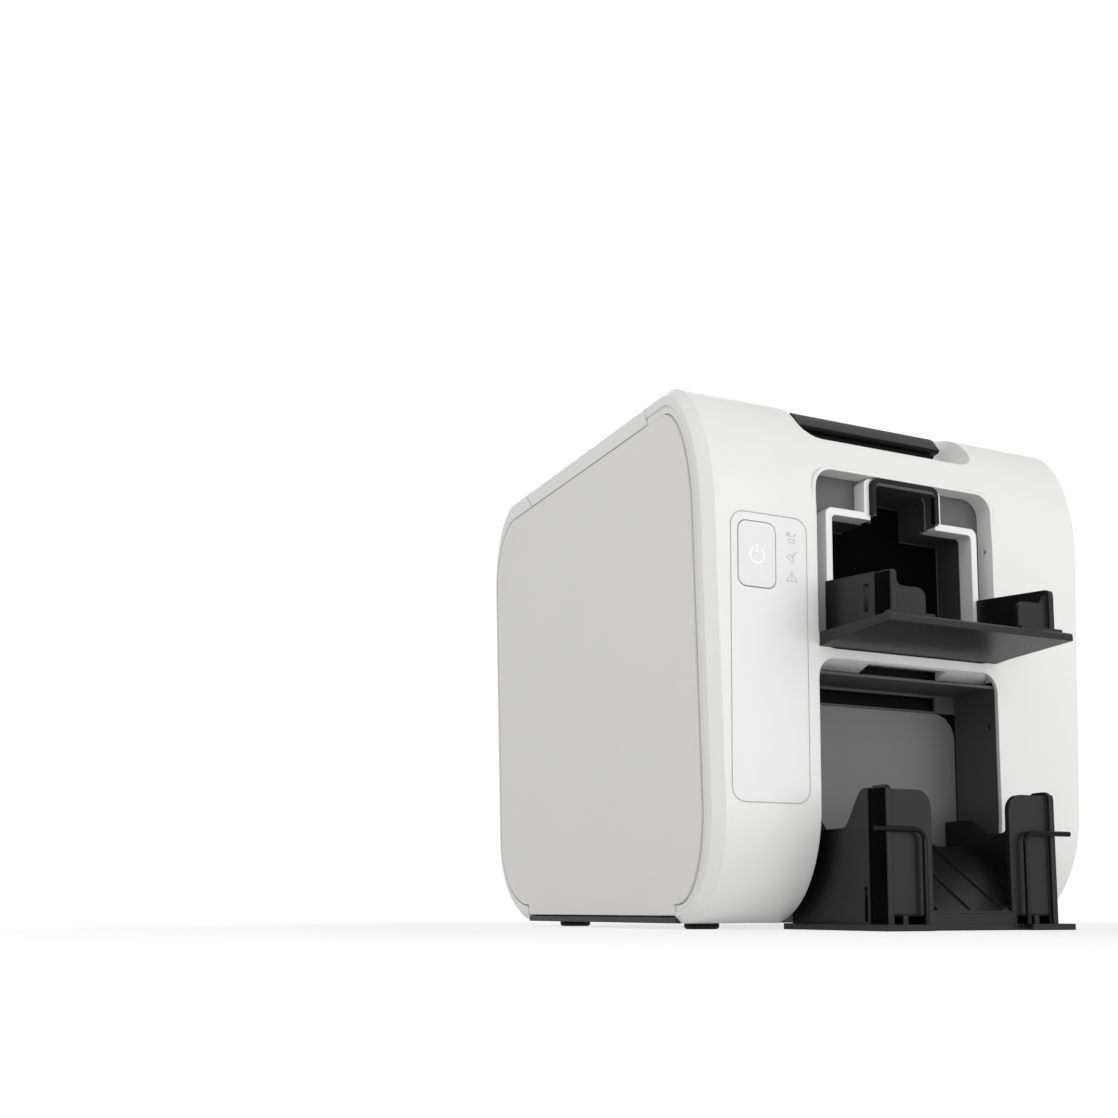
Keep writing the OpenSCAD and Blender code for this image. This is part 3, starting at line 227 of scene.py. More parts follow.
def arc_shading():
    """Geometry network that shades the small steps of an arc as one curve and keeps real edges sharp."""
    group = bpy.data.node_groups.new("arc_shading", "GeometryNodeTree")
    group.interface.new_socket("Geometry", in_out="INPUT", socket_type="NodeSocketGeometry")
    group.interface.new_socket("Geometry", in_out="OUTPUT", socket_type="NodeSocketGeometry")
    n, link = group.nodes, group.links
    last = n.new("NodeGroupInput").outputs[0]
    for kept_out in ("custom_normal", "sharp_edge", "sharp_face"):
        forget = n.new("GeometryNodeRemoveAttribute")
        forget.inputs["Name"].default_value = kept_out
        link.new(last, forget.inputs["Geometry"])
        last = forget.outputs["Geometry"]
    join = n.new("GeometryNodeMergeByDistance")
    join.inputs["Distance"].default_value = 0.000002
    link.new(last, join.inputs["Geometry"])
    faces = n.new("GeometryNodeSetShadeSmooth")
    faces.domain = "FACE"
    link.new(join.outputs["Geometry"], faces.inputs["Geometry"])
    turn = n.new("GeometryNodeInputMeshEdgeAngle")
    sharp = n.new("FunctionNodeCompare")
    sharp.data_type = "FLOAT"
    sharp.operation = "GREATER_THAN"
    sharp.inputs["B"].default_value = arc_step
    link.new(turn.outputs["Unsigned Angle"], sharp.inputs["A"])
    edges = n.new("GeometryNodeSetShadeSmooth")
    edges.domain = "EDGE"
    edges.inputs["Shade Smooth"].default_value = False
    link.new(faces.outputs["Geometry"], edges.inputs["Geometry"])
    link.new(sharp.outputs["Result"], edges.inputs["Selection"])
    end = n.new("NodeGroupOutput")
    link.new(edges.outputs["Geometry"], end.inputs[0])
    return group


arc_shades = arc_shading()


def finish_with(mat, *names):
    """Gives CAD nodes their material, and even shading over their arcs."""
    for name in names:
        mesh = nodes[name].data
        mesh.materials.clear()
        mesh.materials.append(mat)
        even = nodes[name].modifiers.new("arc_shading", "NODES")
        even.node_group = arc_shades
        flats = nodes[name].modifiers.new("flats_stay_flat", "WEIGHTED_NORMAL")
        flats.keep_sharp = True
        flats.weight = 100


casing_white = moulded("Casing white", (0.86, 0.855, 0.85), 0.42, drift=0.012, edge=0.0010)
finish_with(casing_white, "front_shell", "top_lid", "rear_cover")


# ---------------------------------------------------------------- Side panels
# Large flat mouldings in the same white, held by a lip behind the casing's bands. Their spark texture is a
# little coarser, and their base white a shade darker than the bands round them: painted shade on the side
# faces.
# Base white a shade darker than the casing's: painted shade on the side panels
panel_painted_shade_white = moulded("Side panel white, painted shade", (0.82, 0.812, 0.805), 0.5, grain=1300.0, drift=0.008, edge=0.0008)
finish_with(panel_painted_shade_white, "left_side_panel", "right_side_panel")


# ---------------------------------------------------------------- Hopper rim
# The stepped white rim round the card well is a separate moulding. Its finish is glossier and
# its white brighter than the casing's.
rim_white = moulded("Rim white", (0.90, 0.898, 0.895), 0.34, grain=2200.0, relief=0.00001, edge=0.0008)
finish_with(rim_white, "hopper_rim")


# ---------------------------------------------------------------- Control strip
# A smooth strip let into the front. Three small pictures for ribbon, cleaning and faults are
# printed on it in pale grey ink, each in front of a light guide.
strip_face = moulded("Control strip", (0.85, 0.845, 0.845), 0.36, grain=2600.0, relief=0.000008, edge=0.0005)
finish_with(strip_face, "control_strip")
guide_clear = moulded("Light guide acrylic", (0.80, 0.80, 0.80), 0.2, grain=2000.0, relief=0.000004,
                      edge=0.0003)
finish_with(guide_clear, "light_guides")

front_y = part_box("control_strip")[0].y
ink_proud = 0.00006


def arc(centre, radius, start, stop, steps):
    """Points round part of a circle, with angles in degrees."""
    return [(centre[0] + radius * math.cos(math.radians(start + (stop - start) * i / steps)),
             centre[1] + radius * math.sin(math.radians(start + (stop - start) * i / steps)))
            for i in range(steps + 1)]


def prism(bm, outline, low, high, axis="y"):
    """Closed solid over a flat outline, between two places along an axis."""
    def at(p, d):
        return {"x": (d, p[0], p[1]), "y": (p[0], d, p[1]), "z": (p[0], p[1], d)}[axis]
    ends = [[bm.verts.new(at(p, d)) for p in outline] for d in (low, high)]
    count = len(outline)
    sides = [bm.faces.new((ends[0][i], ends[0][(i + 1) % count], ends[1][(i + 1) % count], ends[1][i]))
             for i in range(count)]
    caps = [bm.faces.new(ends[0]), bm.faces.new(ends[1][::-1])]
    bmesh.ops.recalc_face_normals(bm, faces=sides + caps)
    return sides + caps


def stroke(bm, points, width, low, high):
    """Straight printed lines of one width along points (x, z), each with its own ends."""
    for (x0, z0), (x1, z1) in zip(points[:-1], points[1:]):
        run = math.hypot(x1 - x0, z1 - z0)
        u, w = (x1 - x0) / run * width / 2, (z1 - z0) / run * width / 2
        prism(bm, [(x0 - u + w, z0 - w - u), (x1 + u + w, z1 + w - u),
                   (x1 + u - w, z1 + w + u), (x0 - u - w, z0 - w + u)], low, high)


def ring_prism(bm, outer, inner, low, high):
    """Closed ring between two outlines (x, z) with the same number of points."""
    loops = [[bm.verts.new((x, y, z)) for x, z in line] for line in (outer, inner) for y in (low, high)]
    outer_front, outer_back, inner_front, inner_back = loops
    count = len(outer)
    for i in range(count):
        k = (i + 1) % count
        bm.faces.new((outer_front[i], outer_front[k], outer_back[k], outer_back[i]))
        bm.faces.new((inner_front[k], inner_front[i], inner_back[i], inner_back[k]))
        bm.faces.new((outer_front[k], outer_front[i], inner_front[i], inner_front[k]))
        bm.faces.new((outer_back[i], outer_back[k], inner_back[k], inner_back[i]))


def add_piece(name, bm, body, mat, crease=35):
    """Makes the finished mesh an object that rides on its body and has its material slot."""
    bmesh.ops.recalc_face_normals(bm, faces=bm.faces)
    mesh = bpy.data.meshes.new(name)
    bm.to_mesh(mesh)
    bm.free()
    mesh.shade_smooth()
    mesh.set_sharp_from_angle(angle=math.radians(crease))
    mesh.materials.append(mat)
    piece = bpy.data.objects.new(name, mesh)
    scene.collection.objects.link(piece)
    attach(piece, body)
    return piece


icon_ink = moulded("Pale grey ink", (0.58, 0.58, 0.585), 0.5, grain=3000.0, relief=0.000004,
                   drift=0.06, edge=0)
guides_low, guides_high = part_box("light_guides")
icon_x = (guides_low.x + guides_high.x) / 2
guide_r = (guides_high.x - guides_low.x) / 2
top_icon = guides_high.z - guide_r
low_icon = guides_low.z + guide_r
ink = (front_y - ink_proud, front_y + 0.0002)
# Width of one picture
s = 0.0062

bm = bmesh.new()
# Ribbon: two spools with the film between them, over a card
for side, r in ((-0.31, 0.17), (0.31, 0.11)):
    prism(bm, arc((icon_x + side * s, top_icon + 0.26 * s), r * s, 0, 345, 23), *ink)
stroke(bm, [(icon_x - 0.20 * s, top_icon + 0.10 * s), (icon_x + 0.22 * s, top_icon + 0.12 * s)],
       0.07 * s, *ink)
card_outline = [[(icon_x + u * (0.26 + grow) * s, top_icon + (w * (0.14 + grow) - 0.28) * s)
                 for u, w in ((1, 1), (-1, 1), (-1, -1), (1, -1))] for grow in (0.04, -0.04)]
ring_prism(bm, *card_outline, *ink)
# Cleaning: a brush on its handle
middle = (top_icon + low_icon) / 2
stroke(bm, [(icon_x + 0.44 * s, middle + 0.44 * s), (icon_x + 0.06 * s, middle + 0.04 * s)], 0.12 * s, *ink)
stroke(bm, [(icon_x - 0.18 * s, middle + 0.20 * s), (icon_x + 0.22 * s, middle - 0.18 * s),
            (icon_x + 0.06 * s, middle - 0.46 * s), (icon_x - 0.46 * s, middle + 0.02 * s),
            (icon_x - 0.18 * s, middle + 0.20 * s)], 0.07 * s, *ink)
# Fault: a triangle with a stroke and a dot
stroke(bm, [(icon_x, low_icon + 0.40 * s), (icon_x + 0.46 * s, low_icon - 0.38 * s),
            (icon_x - 0.46 * s, low_icon - 0.38 * s), (icon_x, low_icon + 0.40 * s)], 0.08 * s, *ink)
stroke(bm, [(icon_x, low_icon + 0.14 * s), (icon_x, low_icon - 0.10 * s)], 0.09 * s, *ink)
prism(bm, arc((icon_x, low_icon - 0.24 * s), 0.055 * s, 0, 330, 11), *ink)
add_piece("status_pictures", bm, "printer", icon_ink)

# The photo shows a soft pale line round the strip. A thin bead in the shut line is a guess at it
bead_grey = moulded("Strip bead", (0.50, 0.50, 0.505), 0.5, grain=1500.0, relief=0.00001, edge=0)
bead_gap = 0.0004
bead_sunk = 0.0004
bead_t = 0.001
strip_r = 0.007


def rounded_box(centre, half_w, half_h, r, steps=8):
    """Outline of an upright box with round corners."""
    points = []
    for i, (u, w) in enumerate(((1, 1), (-1, 1), (-1, -1), (1, -1))):
        corner = (centre[0] + u * (half_w - r), centre[1] + w * (half_h - r))
        points += arc(corner, r, 90 * i, 90 * i + 90, steps)
    return points


strip_low, strip_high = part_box("control_strip")
strip_centre = ((strip_low.x + strip_high.x) / 2, (strip_low.z + strip_high.z) / 2)
strip_half = ((strip_high.x - strip_low.x) / 2, (strip_high.z - strip_low.z) / 2)
bm = bmesh.new()
bead_outer = rounded_box(strip_centre, strip_half[0] + bead_gap, strip_half[1] + bead_gap, strip_r + bead_gap)
bead_inner = rounded_box(strip_centre, *strip_half, strip_r)
ring_prism(bm, bead_outer, bead_inner, front_y + bead_sunk, front_y + bead_sunk + bead_t)
add_piece("strip_bead", bm, "printer", bead_grey)


# ---------------------------------------------------------------- Power button
# A sprung cap in the strip's top left corner. Its ring-and-bar power sign is a clear white
# inlay, flush with the cap, so that the light behind it shines through.
button_face = moulded("Button cap", (0.83, 0.825, 0.825), 0.38, grain=2600.0, relief=0.000008, edge=0.0008)
finish_with(button_face, "power_button")
sign_white = moulded("Power sign inlay", (0.97, 0.97, 0.97), 0.25, grain=2600.0, relief=0.000004,
                     drift=0.01, edge=0)
sign_halo = moulded("Power sign edge", (0.66, 0.66, 0.665), 0.3, grain=2600.0, relief=0.000004, edge=0)

cap_low, cap_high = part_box("power_button")
cap_x = (cap_low.x + cap_high.x) / 2
cap_z = (cap_low.z + cap_high.z) / 2 - 0.0004
sign_r = 0.0040
sign_line = 0.0016
sign_gap = 34
bar_top = 0.0060


def power_sign(bm, grow, low, high):
    """Ring, open at the top, with an upright bar in the opening."""
    half = sign_line / 2 + grow
    outer = arc((cap_x, cap_z), sign_r + half, 90 + sign_gap, 450 - sign_gap, 40)
    inner = arc((cap_x, cap_z), sign_r - half, 450 - sign_gap, 90 + sign_gap, 40)
    prism(bm, outer + inner, low, high)
    prism(bm, [(cap_x - half, cap_z + 0.0009 - grow), (cap_x + half, cap_z + 0.0009 - grow),
               (cap_x + half, cap_z + bar_top + grow), (cap_x - half, cap_z + bar_top + grow)], low, high)


bm = bmesh.new()
power_sign(bm, 0.00018, cap_low.y - 0.00003, cap_low.y + 0.0003)
add_piece("power_sign_edge", bm, "button", sign_halo)
bm = bmesh.new()
power_sign(bm, 0.0, cap_low.y - 0.00007, cap_low.y + 0.0003)
add_piece("power_sign", bm, "button", sign_white)


# ---------------------------------------------------------------- Hopper tray
# A black moulding that holds the blank cards. Each side wall ends in a post with a gloss
# band let into its outer face and a tab in front, and its edges catch the light.
tray_black = moulded("Tray black", (0.0085, 0.0085, 0.009), 0.38, grain=900.0, relief=0.00005,
                     drift=0.15, edge=0.0008, spec=0.26)
finish_with(tray_black, "hopper_tray", "stacker_tray")
band_black = moulded("Gloss band", (0.002, 0.002, 0.002), 0.22, grain=2200.0, relief=0.000004,
                     drift=0.1, edge=0, spec=0.10)
# A low index keeps the band near black from every side, as the photo shows it. It is a
# matched look, not a measured property of the plastic
next(x for x in band_black.node_tree.nodes if x.type == "BSDF_PRINCIPLED").inputs["IOR"].default_value = 1.12
band_t = 0.0006
band_depth = 0.0012
soften = 0.00022


def soften_edges(bm, faces, offset, segments=2):
    edges = list({e for f in faces for e in f.edges if len(e.link_faces) == 2 and e.calc_face_angle() > 0.6})
    bmesh.ops.bevel(bm, geom=edges, offset=offset, segments=segments, profile=0.7, affect="EDGES")


def post_bands(name, body, wall_x, outline):
    """One band in each wall's outer face, over an outline (y, z) in its recess."""
    bm = bmesh.new()
    for side in (-1, 1):
        inner = side * (wall_x - band_depth)
        faces = prism(bm, outline, inner, inner + side * band_t, axis="x")
        soften_edges(bm, faces, soften)
    return add_piece(name, bm, body, band_black)


hopper_post_x = 0.0507
hopper_post_y = front_y - 0.052
hopper_floor_z = 0.1472
post_bands("hopper_post_bands", "printer", hopper_post_x, [
    (hopper_post_y + 0.0015, hopper_floor_z + 0.0007), (hopper_post_y + 0.0134, hopper_floor_z + 0.0007),
    (hopper_post_y + 0.0134, hopper_floor_z + 0.0231), (hopper_post_y + 0.0015, hopper_floor_z + 0.0222)])


# ---------------------------------------------------------------- Stacker tray
# It takes the printed cards on a ribbed ramp and slides out at the front. Its posts have the
# same gloss bands, and two bent wires with a black dip coat stop the cards.
stacker_post_x = 0.0515
stacker_post_y = front_y - 0.045
stacker_top_z = 0.068
post_bands("stacker_post_bands", "stacker", stacker_post_x,
           [(stacker_post_y + 0.0011, 0.0034), (stacker_post_y + 0.0145, 0.0034),
            (stacker_post_y + 0.0145, stacker_top_z - 0.0014)]
           + arc((stacker_post_y + 0.0046, stacker_top_z - 0.0046), 0.0033, 90, 180, 6))
wire_coat = moulded("Wire coat", (0.003, 0.003, 0.003), 0.2, grain=600.0, relief=0.00002,
                    drift=0.1, edge=0, spec=0.12)
finish_with(wire_coat, "left_stop_wire", "right_stop_wire")


# ---------------------------------------------------------------- Card well, chute and latch bar
# Mouldings with a satin spark texture, the chute black. The card well is the chute's black lightened to dark
# grey:
# painted light on its shadowed inner walls. The latch bar is nearly black and a little glossier.
# Lighter copy of the chute black: painted light on the well's inner walls
well_painted_light_grey = moulded("Well grey, painted light", (0.055, 0.055, 0.056), 0.46, grain=900.0, relief=0.00005,
                    drift=0.15, edge=0.0006, spec=0.4)
finish_with(well_painted_light_grey, "hopper_tunnel")
well_black = moulded("Chute black", (0.010, 0.010, 0.0105), 0.46, grain=900.0, relief=0.00005,
                     drift=0.15, edge=0.0006, spec=0.35)
finish_with(well_black, "exit_chute")
latch_black = moulded("Latch black", (0.004, 0.004, 0.0043), 0.36, grain=1200.0, relief=0.00004,
                      drift=0.12, edge=0.0008, spec=0.16)
finish_with(latch_black, "latch_bar")


# ---------------------------------------------------------------- Notch hood and painted-shade pad
# The narrow top of the card well has a black hood inside its white rim and a grey inner frame.
# The well's rear wall shows only black. The near-black sheet there is painted shade for the deep well.
notch_half = 0.0219
notch_r = 0.0046
rim_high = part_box("hopper_rim")[1]
shoulder_z = rim_high.z - 0.0187


def arch_ring(bm, half, top, foot, r, wide, low, high):
    """Band of one width that runs up one side, round the top and down the other."""
    def run(half, top, r):
        return ([(half, foot)] + arc((half - r, top - r), r, 0, 90, 8)
                + arc((r - half, top - r), r, 90, 180, 8) + [(-half, foot)])
    outline = run(half, top, r) + run(half - wide, top - wide, r - wide * 0.6)[::-1]
    return prism(bm, outline, low, high)


bm = bmesh.new()
faces = arch_ring(bm, notch_half, rim_high.z + 0.0002, shoulder_z - 0.0012, notch_r, 0.0027,
                  front_y + 0.0005, front_y + 0.0042)
soften_edges(bm, faces, 0.0004, 3)
add_piece("notch_hood", bm, "printer", latch_black)
frame_half = 0.0192
frame_grey = moulded("Notch frame grey", (0.055, 0.055, 0.056), 0.45, grain=1100.0, drift=0.1, edge=0.0006)
bm = bmesh.new()
faces = arch_ring(bm, frame_half, rim_high.z - 0.0026, shoulder_z - 0.004, 0.0044, 0.0014,
                  front_y + 0.0080, front_y + 0.0100)
soften_edges(bm, faces, 0.0004, 3)
add_piece("notch_frame", bm, "printer", frame_grey)
# Near-black matt sheet: painted shade on the well's rear wall
shade_pad_black = moulded("Painted shade pad", (0.0016, 0.0016, 0.0016), 0.95, grain=5000.0, relief=0.00012,
                      drift=0.3, edge=0, spec=0.03)
pad_half = 0.0446
pad_y = front_y + 0.033
pad_foot = 0.1506
pad_neck = 0.0190
pad_shoulder = shoulder_z - 0.0044
pad_top = rim_high.z - 0.0048
bm = bmesh.new()
prism(bm, [(-pad_half, pad_foot), (pad_half, pad_foot), (pad_half, pad_shoulder), (pad_neck, pad_shoulder),
           (pad_neck, pad_top), (-pad_neck, pad_top), (-pad_neck, pad_shoulder), (-pad_half, pad_shoulder)],
      pad_y - 0.0005, pad_y + 0.0001)
add_piece("well_painted_shade_pad", bm, "printer", shade_pad_black)


# ---------------------------------------------------------------- Recess face and stacker bay
# Dark grey mouldings that line both openings, matt so that they stay quiet behind the cards.
recess_grey = moulded("Recess grey", (0.10, 0.10, 0.103), 0.5, grain=1100.0, drift=0.08, edge=0.0005)
finish_with(recess_grey, "hopper_bezel")
liner_grey = moulded("Bay liner grey", (0.066, 0.066, 0.068), 0.5, grain=1100.0, drift=0.08, edge=0.0005)
finish_with(liner_grey, "stacker_liner")
bay_grey = moulded("Bay wall grey", (0.155, 0.155, 0.157), 0.45, grain=1100.0, drift=0.05, edge=0.0006)
finish_with(bay_grey, "stacker_wall")


# ---------------------------------------------------------------- Base and feet
# The base is a dark moulding with cooling slots. The feet are soft black rubber discs with a
# broken lower edge, bonded under the base.
base_dark = moulded("Base plastic", (0.018, 0.018, 0.019), 0.6, grain=700.0, relief=0.00006,
                    drift=0.1, edge=0.0005)
finish_with(base_dark, "base_plate", "card_deck")
foot_rubber = moulded("Foot rubber", (0.012, 0.012, 0.012), 0.8, grain=1600.0, relief=0.00006,
                      drift=0.15, edge=0.0006, spec=0.3)
finish_with(foot_rubber, "feet")


# ---------------------------------------------------------------- Rollers
# Each card roller is black rubber, ground to size round a steel shaft. The cleaning roller
# wears a tacky blue sleeve, and the pinch roller is bare ground steel.
roller_black = moulded("Roller rubber", (0.016, 0.016, 0.017), 0.7, grain=1800.0, relief=0.00004,
                       drift=0.12, edge=0.0004, spec=0.35)
finish_with(roller_black, "pick_roller", "feed_roller", "transport_roller", "platen_roller")
tacky_blue = moulded("Cleaning sleeve", (0.05, 0.16, 0.34), 0.3, grain=1800.0, relief=0.00002,
                     drift=0.12, edge=0.0004, spec=0.4)
finish_with(tacky_blue, "cleaning_roller")


# ---------------------------------------------------------------- Steel frames, shafts and pins
# The side frames and brackets are zinc-plated sheet, cut and folded. The shafts, pins, studs
# and screws are bright steel, and the bushes are sintered bronze.
def metal(name, shade, rough, stretch=(1, 1, 1), scale=400.0, drift=0.12, edge=0.0003):
    """Bare or plated metal: grain drawn out along one direction, in its shade and its gloss."""
    mat = bpy.data.materials.new(name)
    tree, n, link = node_tree(mat)
    out = n.new("ShaderNodeOutputMaterial")
    bsdf = n.new("ShaderNodeBsdfPrincipled")
    bsdf.inputs["Metallic"].default_value = 1.0
    link.new(bsdf.outputs[0], out.inputs["Surface"])
    where = n.new("ShaderNodeTexCoord")
    pull = n.new("ShaderNodeMapping")
    pull.inputs["Scale"].default_value = stretch
    link.new(where.outputs["Object"], pull.inputs["Vector"])
    streak = n.new("ShaderNodeTexNoise")
    streak.inputs["Scale"].default_value = scale
    streak.inputs["Detail"].default_value = 4.0
    link.new(pull.outputs["Vector"], streak.inputs["Vector"])
    shades = n.new("ShaderNodeValToRGB")
    shades.color_ramp.elements[0].position = 0.3
    shades.color_ramp.elements[1].position = 0.7
    shades.color_ramp.elements[0].color = (*[c * (1 - drift) for c in shade], 1)
    shades.color_ramp.elements[1].color = (*[min(1, c * (1 + drift)) for c in shade], 1)
    link.new(streak.outputs["Fac"], shades.inputs["Fac"])
    link.new(shades.outputs["Color"], bsdf.inputs["Base Color"])
    gloss = n.new("ShaderNodeMapRange")
    gloss.inputs["From Min"].default_value = 0.3
    gloss.inputs["From Max"].default_value = 0.7
    gloss.inputs["To Min"].default_value = rough - 0.06
    gloss.inputs["To Max"].default_value = rough + 0.08
    link.new(streak.outputs["Fac"], gloss.inputs["Value"])
    link.new(gloss.outputs["Result"], bsdf.inputs["Roughness"])
    bump = n.new("ShaderNodeBump")
    bump.inputs["Strength"].default_value = 0.3
    bump.inputs["Distance"].default_value = 0.00001
    link.new(streak.outputs["Fac"], bump.inputs["Height"])
    soft = n.new("ShaderNodeBevel")
    soft.samples = 4
    soft.inputs["Radius"].default_value = edge
    link.new(soft.outputs["Normal"], bump.inputs["Normal"])
    link.new(bump.outputs["Normal"], bsdf.inputs["Normal"])
    return mat


plated = metal("Zinc-plated sheet", (0.58, 0.59, 0.60), 0.36, stretch=(1, 0.08, 1))
finish_with(plated, "left_frame", "right_frame", "motor_bracket", "board_bracket", "head_carrier",
            "usb_socket")
bright = metal("Bright steel", (0.66, 0.67, 0.69), 0.22, stretch=(0.1, 1, 1), scale=600.0)
finish_with(bright, "latch_pin", "hinge_pins", "latch_keeper", "gear_studs", "pinch_roller", "ribbon_motor")
bronze = metal("Sintered bronze", (0.52, 0.36, 0.20), 0.42, scale=1500.0, drift=0.18)
finish_with(bronze, "shaft_bushes")


# ---------------------------------------------------------------- Screws
# Zinc-plated pan-head screws with a cross recess hold the frames, the boards, the motor
# bracket and the rear cover.
screw_steel = metal("Plated screw", (0.62, 0.63, 0.64), 0.28, scale=900.0)
finish_with(screw_steel, "frame_screws")


def turned(bm, profile, centre, axis, steps=32):
    """Body turned round an axis, from a profile of (radius, distance along the axis)."""
    def at(r, d, a):
        u, w = r * math.cos(a), r * math.sin(a)
        x, y, z = {"x": (d, u, w), "y": (u, d, w), "z": (u, w, d)}[axis]
        return (centre[0] + x, centre[1] + y, centre[2] + z)
    rings = []
    for r, d in profile:
        if r == 0:
            rings.append([bm.verts.new(at(0, d, 0))])
        else:
            rings.append([bm.verts.new(at(r, d, 2 * math.pi * i / steps)) for i in range(steps)])
    for a, b in zip(rings[:-1], rings[1:]):
        for i in range(steps):
            k = (i + 1) % steps
            if len(a) == 1:
                bm.faces.new((a[0], b[i], b[k]))
            elif len(b) == 1:
                bm.faces.new((a[i], a[k], b[0]))
            else:
                bm.faces.new((a[i], a[k], b[k], b[i]))
    return rings


def cross_screw(bm, centre, axis, out, head_r):
    """Pan head whose cross recess is cut into it. out is +1 or -1 along the axis."""
    rise = head_r * 0.6
    deep = head_r * 0.35
    steps = 32
    rings = turned(bm, [(head_r, -0.0001 * out), (head_r, rise * 0.45 * out),
                        (head_r * 0.9, rise * 0.75 * out), (head_r * 0.66, rise * out)], centre, axis, steps)
    bm.faces.new(rings[0])

    def at(u, w, d):
        x, y, z = {"x": (d, u, w), "y": (u, d, w), "z": (u, w, d)}[axis]
        return (centre[0] + x, centre[1] + y, centre[2] + z)
    arm, half = head_r * 0.52, head_r * 0.13
    cross = [(arm, -half), (arm, half), (half, half), (half, arm), (-half, arm), (-half, half),
             (-arm, half), (-arm, -half), (-half, -half), (-half, -arm), (half, -arm), (half, -half)]
    rim = [bm.verts.new(at(u, w, rise * out)) for u, w in cross]
    floor = [bm.verts.new(at(u, w, (rise - deep) * out)) for u, w in cross]
    rim_edges = [bm.edges.new((rim[i], rim[(i + 1) % 12])) for i in range(12)]
    ring_edges = [bm.edges.get((rings[-1][i], rings[-1][(i + 1) % steps])) for i in range(steps)]
    bmesh.ops.triangle_fill(bm, edges=rim_edges + ring_edges, use_beauty=True)
    for i in range(12):
        k = (i + 1) % 12
        bm.faces.new((rim[i], rim[k], floor[k], floor[i]))
    bm.faces.new(floor)


def screws(name, body, places, axis, out, head_r):
    bm = bmesh.new()
    for place in places:
        cross_screw(bm, place, axis, out, head_r)
    return add_piece(name, bm, body, screw_steel)


rear_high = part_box("rear_cover")[1]
screw_x = 0.098
rear_face = rear_high.y - 0.0004
screws("rear_cover_screws", "printer",
       [(x, rear_face, z) for x in (-screw_x, screw_x) for z in (0.068, 0.206)], "y", 1, 0.0032)
board_low, board_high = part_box("main_board")
screws("board_screws", "printer",
       [(board_low.x + 0.0016, y, z) for y in (board_low.y + 0.006, board_high.y - 0.012)
        for z in (board_low.z + 0.006, board_high.z - 0.006)], "x", 1, 0.0026)
bracket_low, bracket_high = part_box("motor_bracket")
screws("bracket_screws", "printer",
       [(bracket_high.x, bracket_low.y + 0.004, bracket_low.z + 0.003),
        (bracket_high.x, bracket_low.y + 0.004, bracket_low.z + 0.030),
        (bracket_high.x, (bracket_low.y + bracket_high.y) / 2, bracket_high.z - 0.004)], "x", 1, 0.0024)
carrier_low, carrier_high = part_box("head_carrier")
carrier_y = (carrier_low.y + carrier_high.y) / 2
screws("carrier_screws", "lid",
       [(x, carrier_y + y, carrier_high.z - 0.0015) for x in (-0.036, 0.036) for y in (-0.009, 0.009)],
       "z", -1, 0.0030)


# ---------------------------------------------------------------- Print head and its springs
# An aluminium block with cooling fins carries a ceramic edge. It floats on two studs, and two
# coil springs of music wire press it down on the platen.
head_alloy = metal("Head aluminium", (0.70, 0.71, 0.73), 0.34, stretch=(0.08, 1, 1), scale=500.0)
finish_with(head_alloy, "print_head")
spring_wire = metal("Spring wire", (0.60, 0.60, 0.62), 0.25, scale=1200.0, edge=0)
spring_low, spring_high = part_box("head_springs")
wire_r = 0.00045
spring_turns = 7


def tube(bm, path, radius, sides=10):
    """Round wire along a list of points, closed at both ends."""
    rings = []
    side = None
    for i, here in enumerate(path):
        along = (path[min(i + 1, len(path) - 1)] - path[max(i - 1, 0)]).normalized()
        side = along.orthogonal() if side is None else side - along * side.dot(along)
        side.normalize()
        across = along.cross(side)
        rings.append([bm.verts.new(here + radius * (math.cos(a) * side + math.sin(a) * across))
                      for a in (2 * math.pi * k / sides for k in range(sides))])
    for a, b in zip(rings[:-1], rings[1:]):
        for k in range(sides):
            bm.faces.new((a[k], a[(k + 1) % sides], b[(k + 1) % sides], b[k]))
    bm.faces.new(rings[0][::-1])
    bm.faces.new(rings[-1])


bm = bmesh.new()
coil_r = (spring_high.y - spring_low.y) / 2 - wire_r
coil_y = (spring_low.y + spring_high.y) / 2
for coil_x in (spring_low.x + coil_r + wire_r, spring_high.x - coil_r - wire_r):
    path = []
    for i in range(spring_turns * 20 + 1):
        done = i / (spring_turns * 20)
        # The first and last turns lie flat, as closed and ground ends do
        rise = min(max((done - 1 / spring_turns) / (1 - 2 / spring_turns), 0), 1)
        flat = wire_r * (1 + 2 * min(done * spring_turns, 1) * 0.9)
        top = spring_high.z - wire_r - 2 * wire_r * 0.9 * min((1 - done) * spring_turns, 1)
        path.append(Vector((coil_x + coil_r * math.cos(2 * math.pi * i / 20),
                            coil_y + coil_r * math.sin(2 * math.pi * i / 20),
                            (spring_low.z + flat) * (1 - rise) + top * rise)))
    tube(bm, path, wire_r)
springs = add_piece("head_coil_springs", bm, "lid", spring_wire)
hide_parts("head_springs")


# ---------------------------------------------------------------- Gears
# Natural acetal gears, slightly creamy and waxy. Each has a raised rim and hub on its outer
# face, round a thinner web.
acetal = moulded("Gear acetal", (0.78, 0.76, 0.69), 0.3, grain=1500.0, relief=0.00001,
                 drift=0.04, edge=0.0003)
finish_with(acetal, "pick_idler", "feed_idler", "transport_idler", "drive_gear", "takeup_gear")
brass = metal("Pinion brass", (0.72, 0.55, 0.26), 0.28, stretch=(0.1, 1, 1), scale=700.0)
finish_with(brass, "drive_pinion", "ribbon_pinion")
rim_rise = 0.0005
rim_wide = 0.0012
hub_r = 0.0048


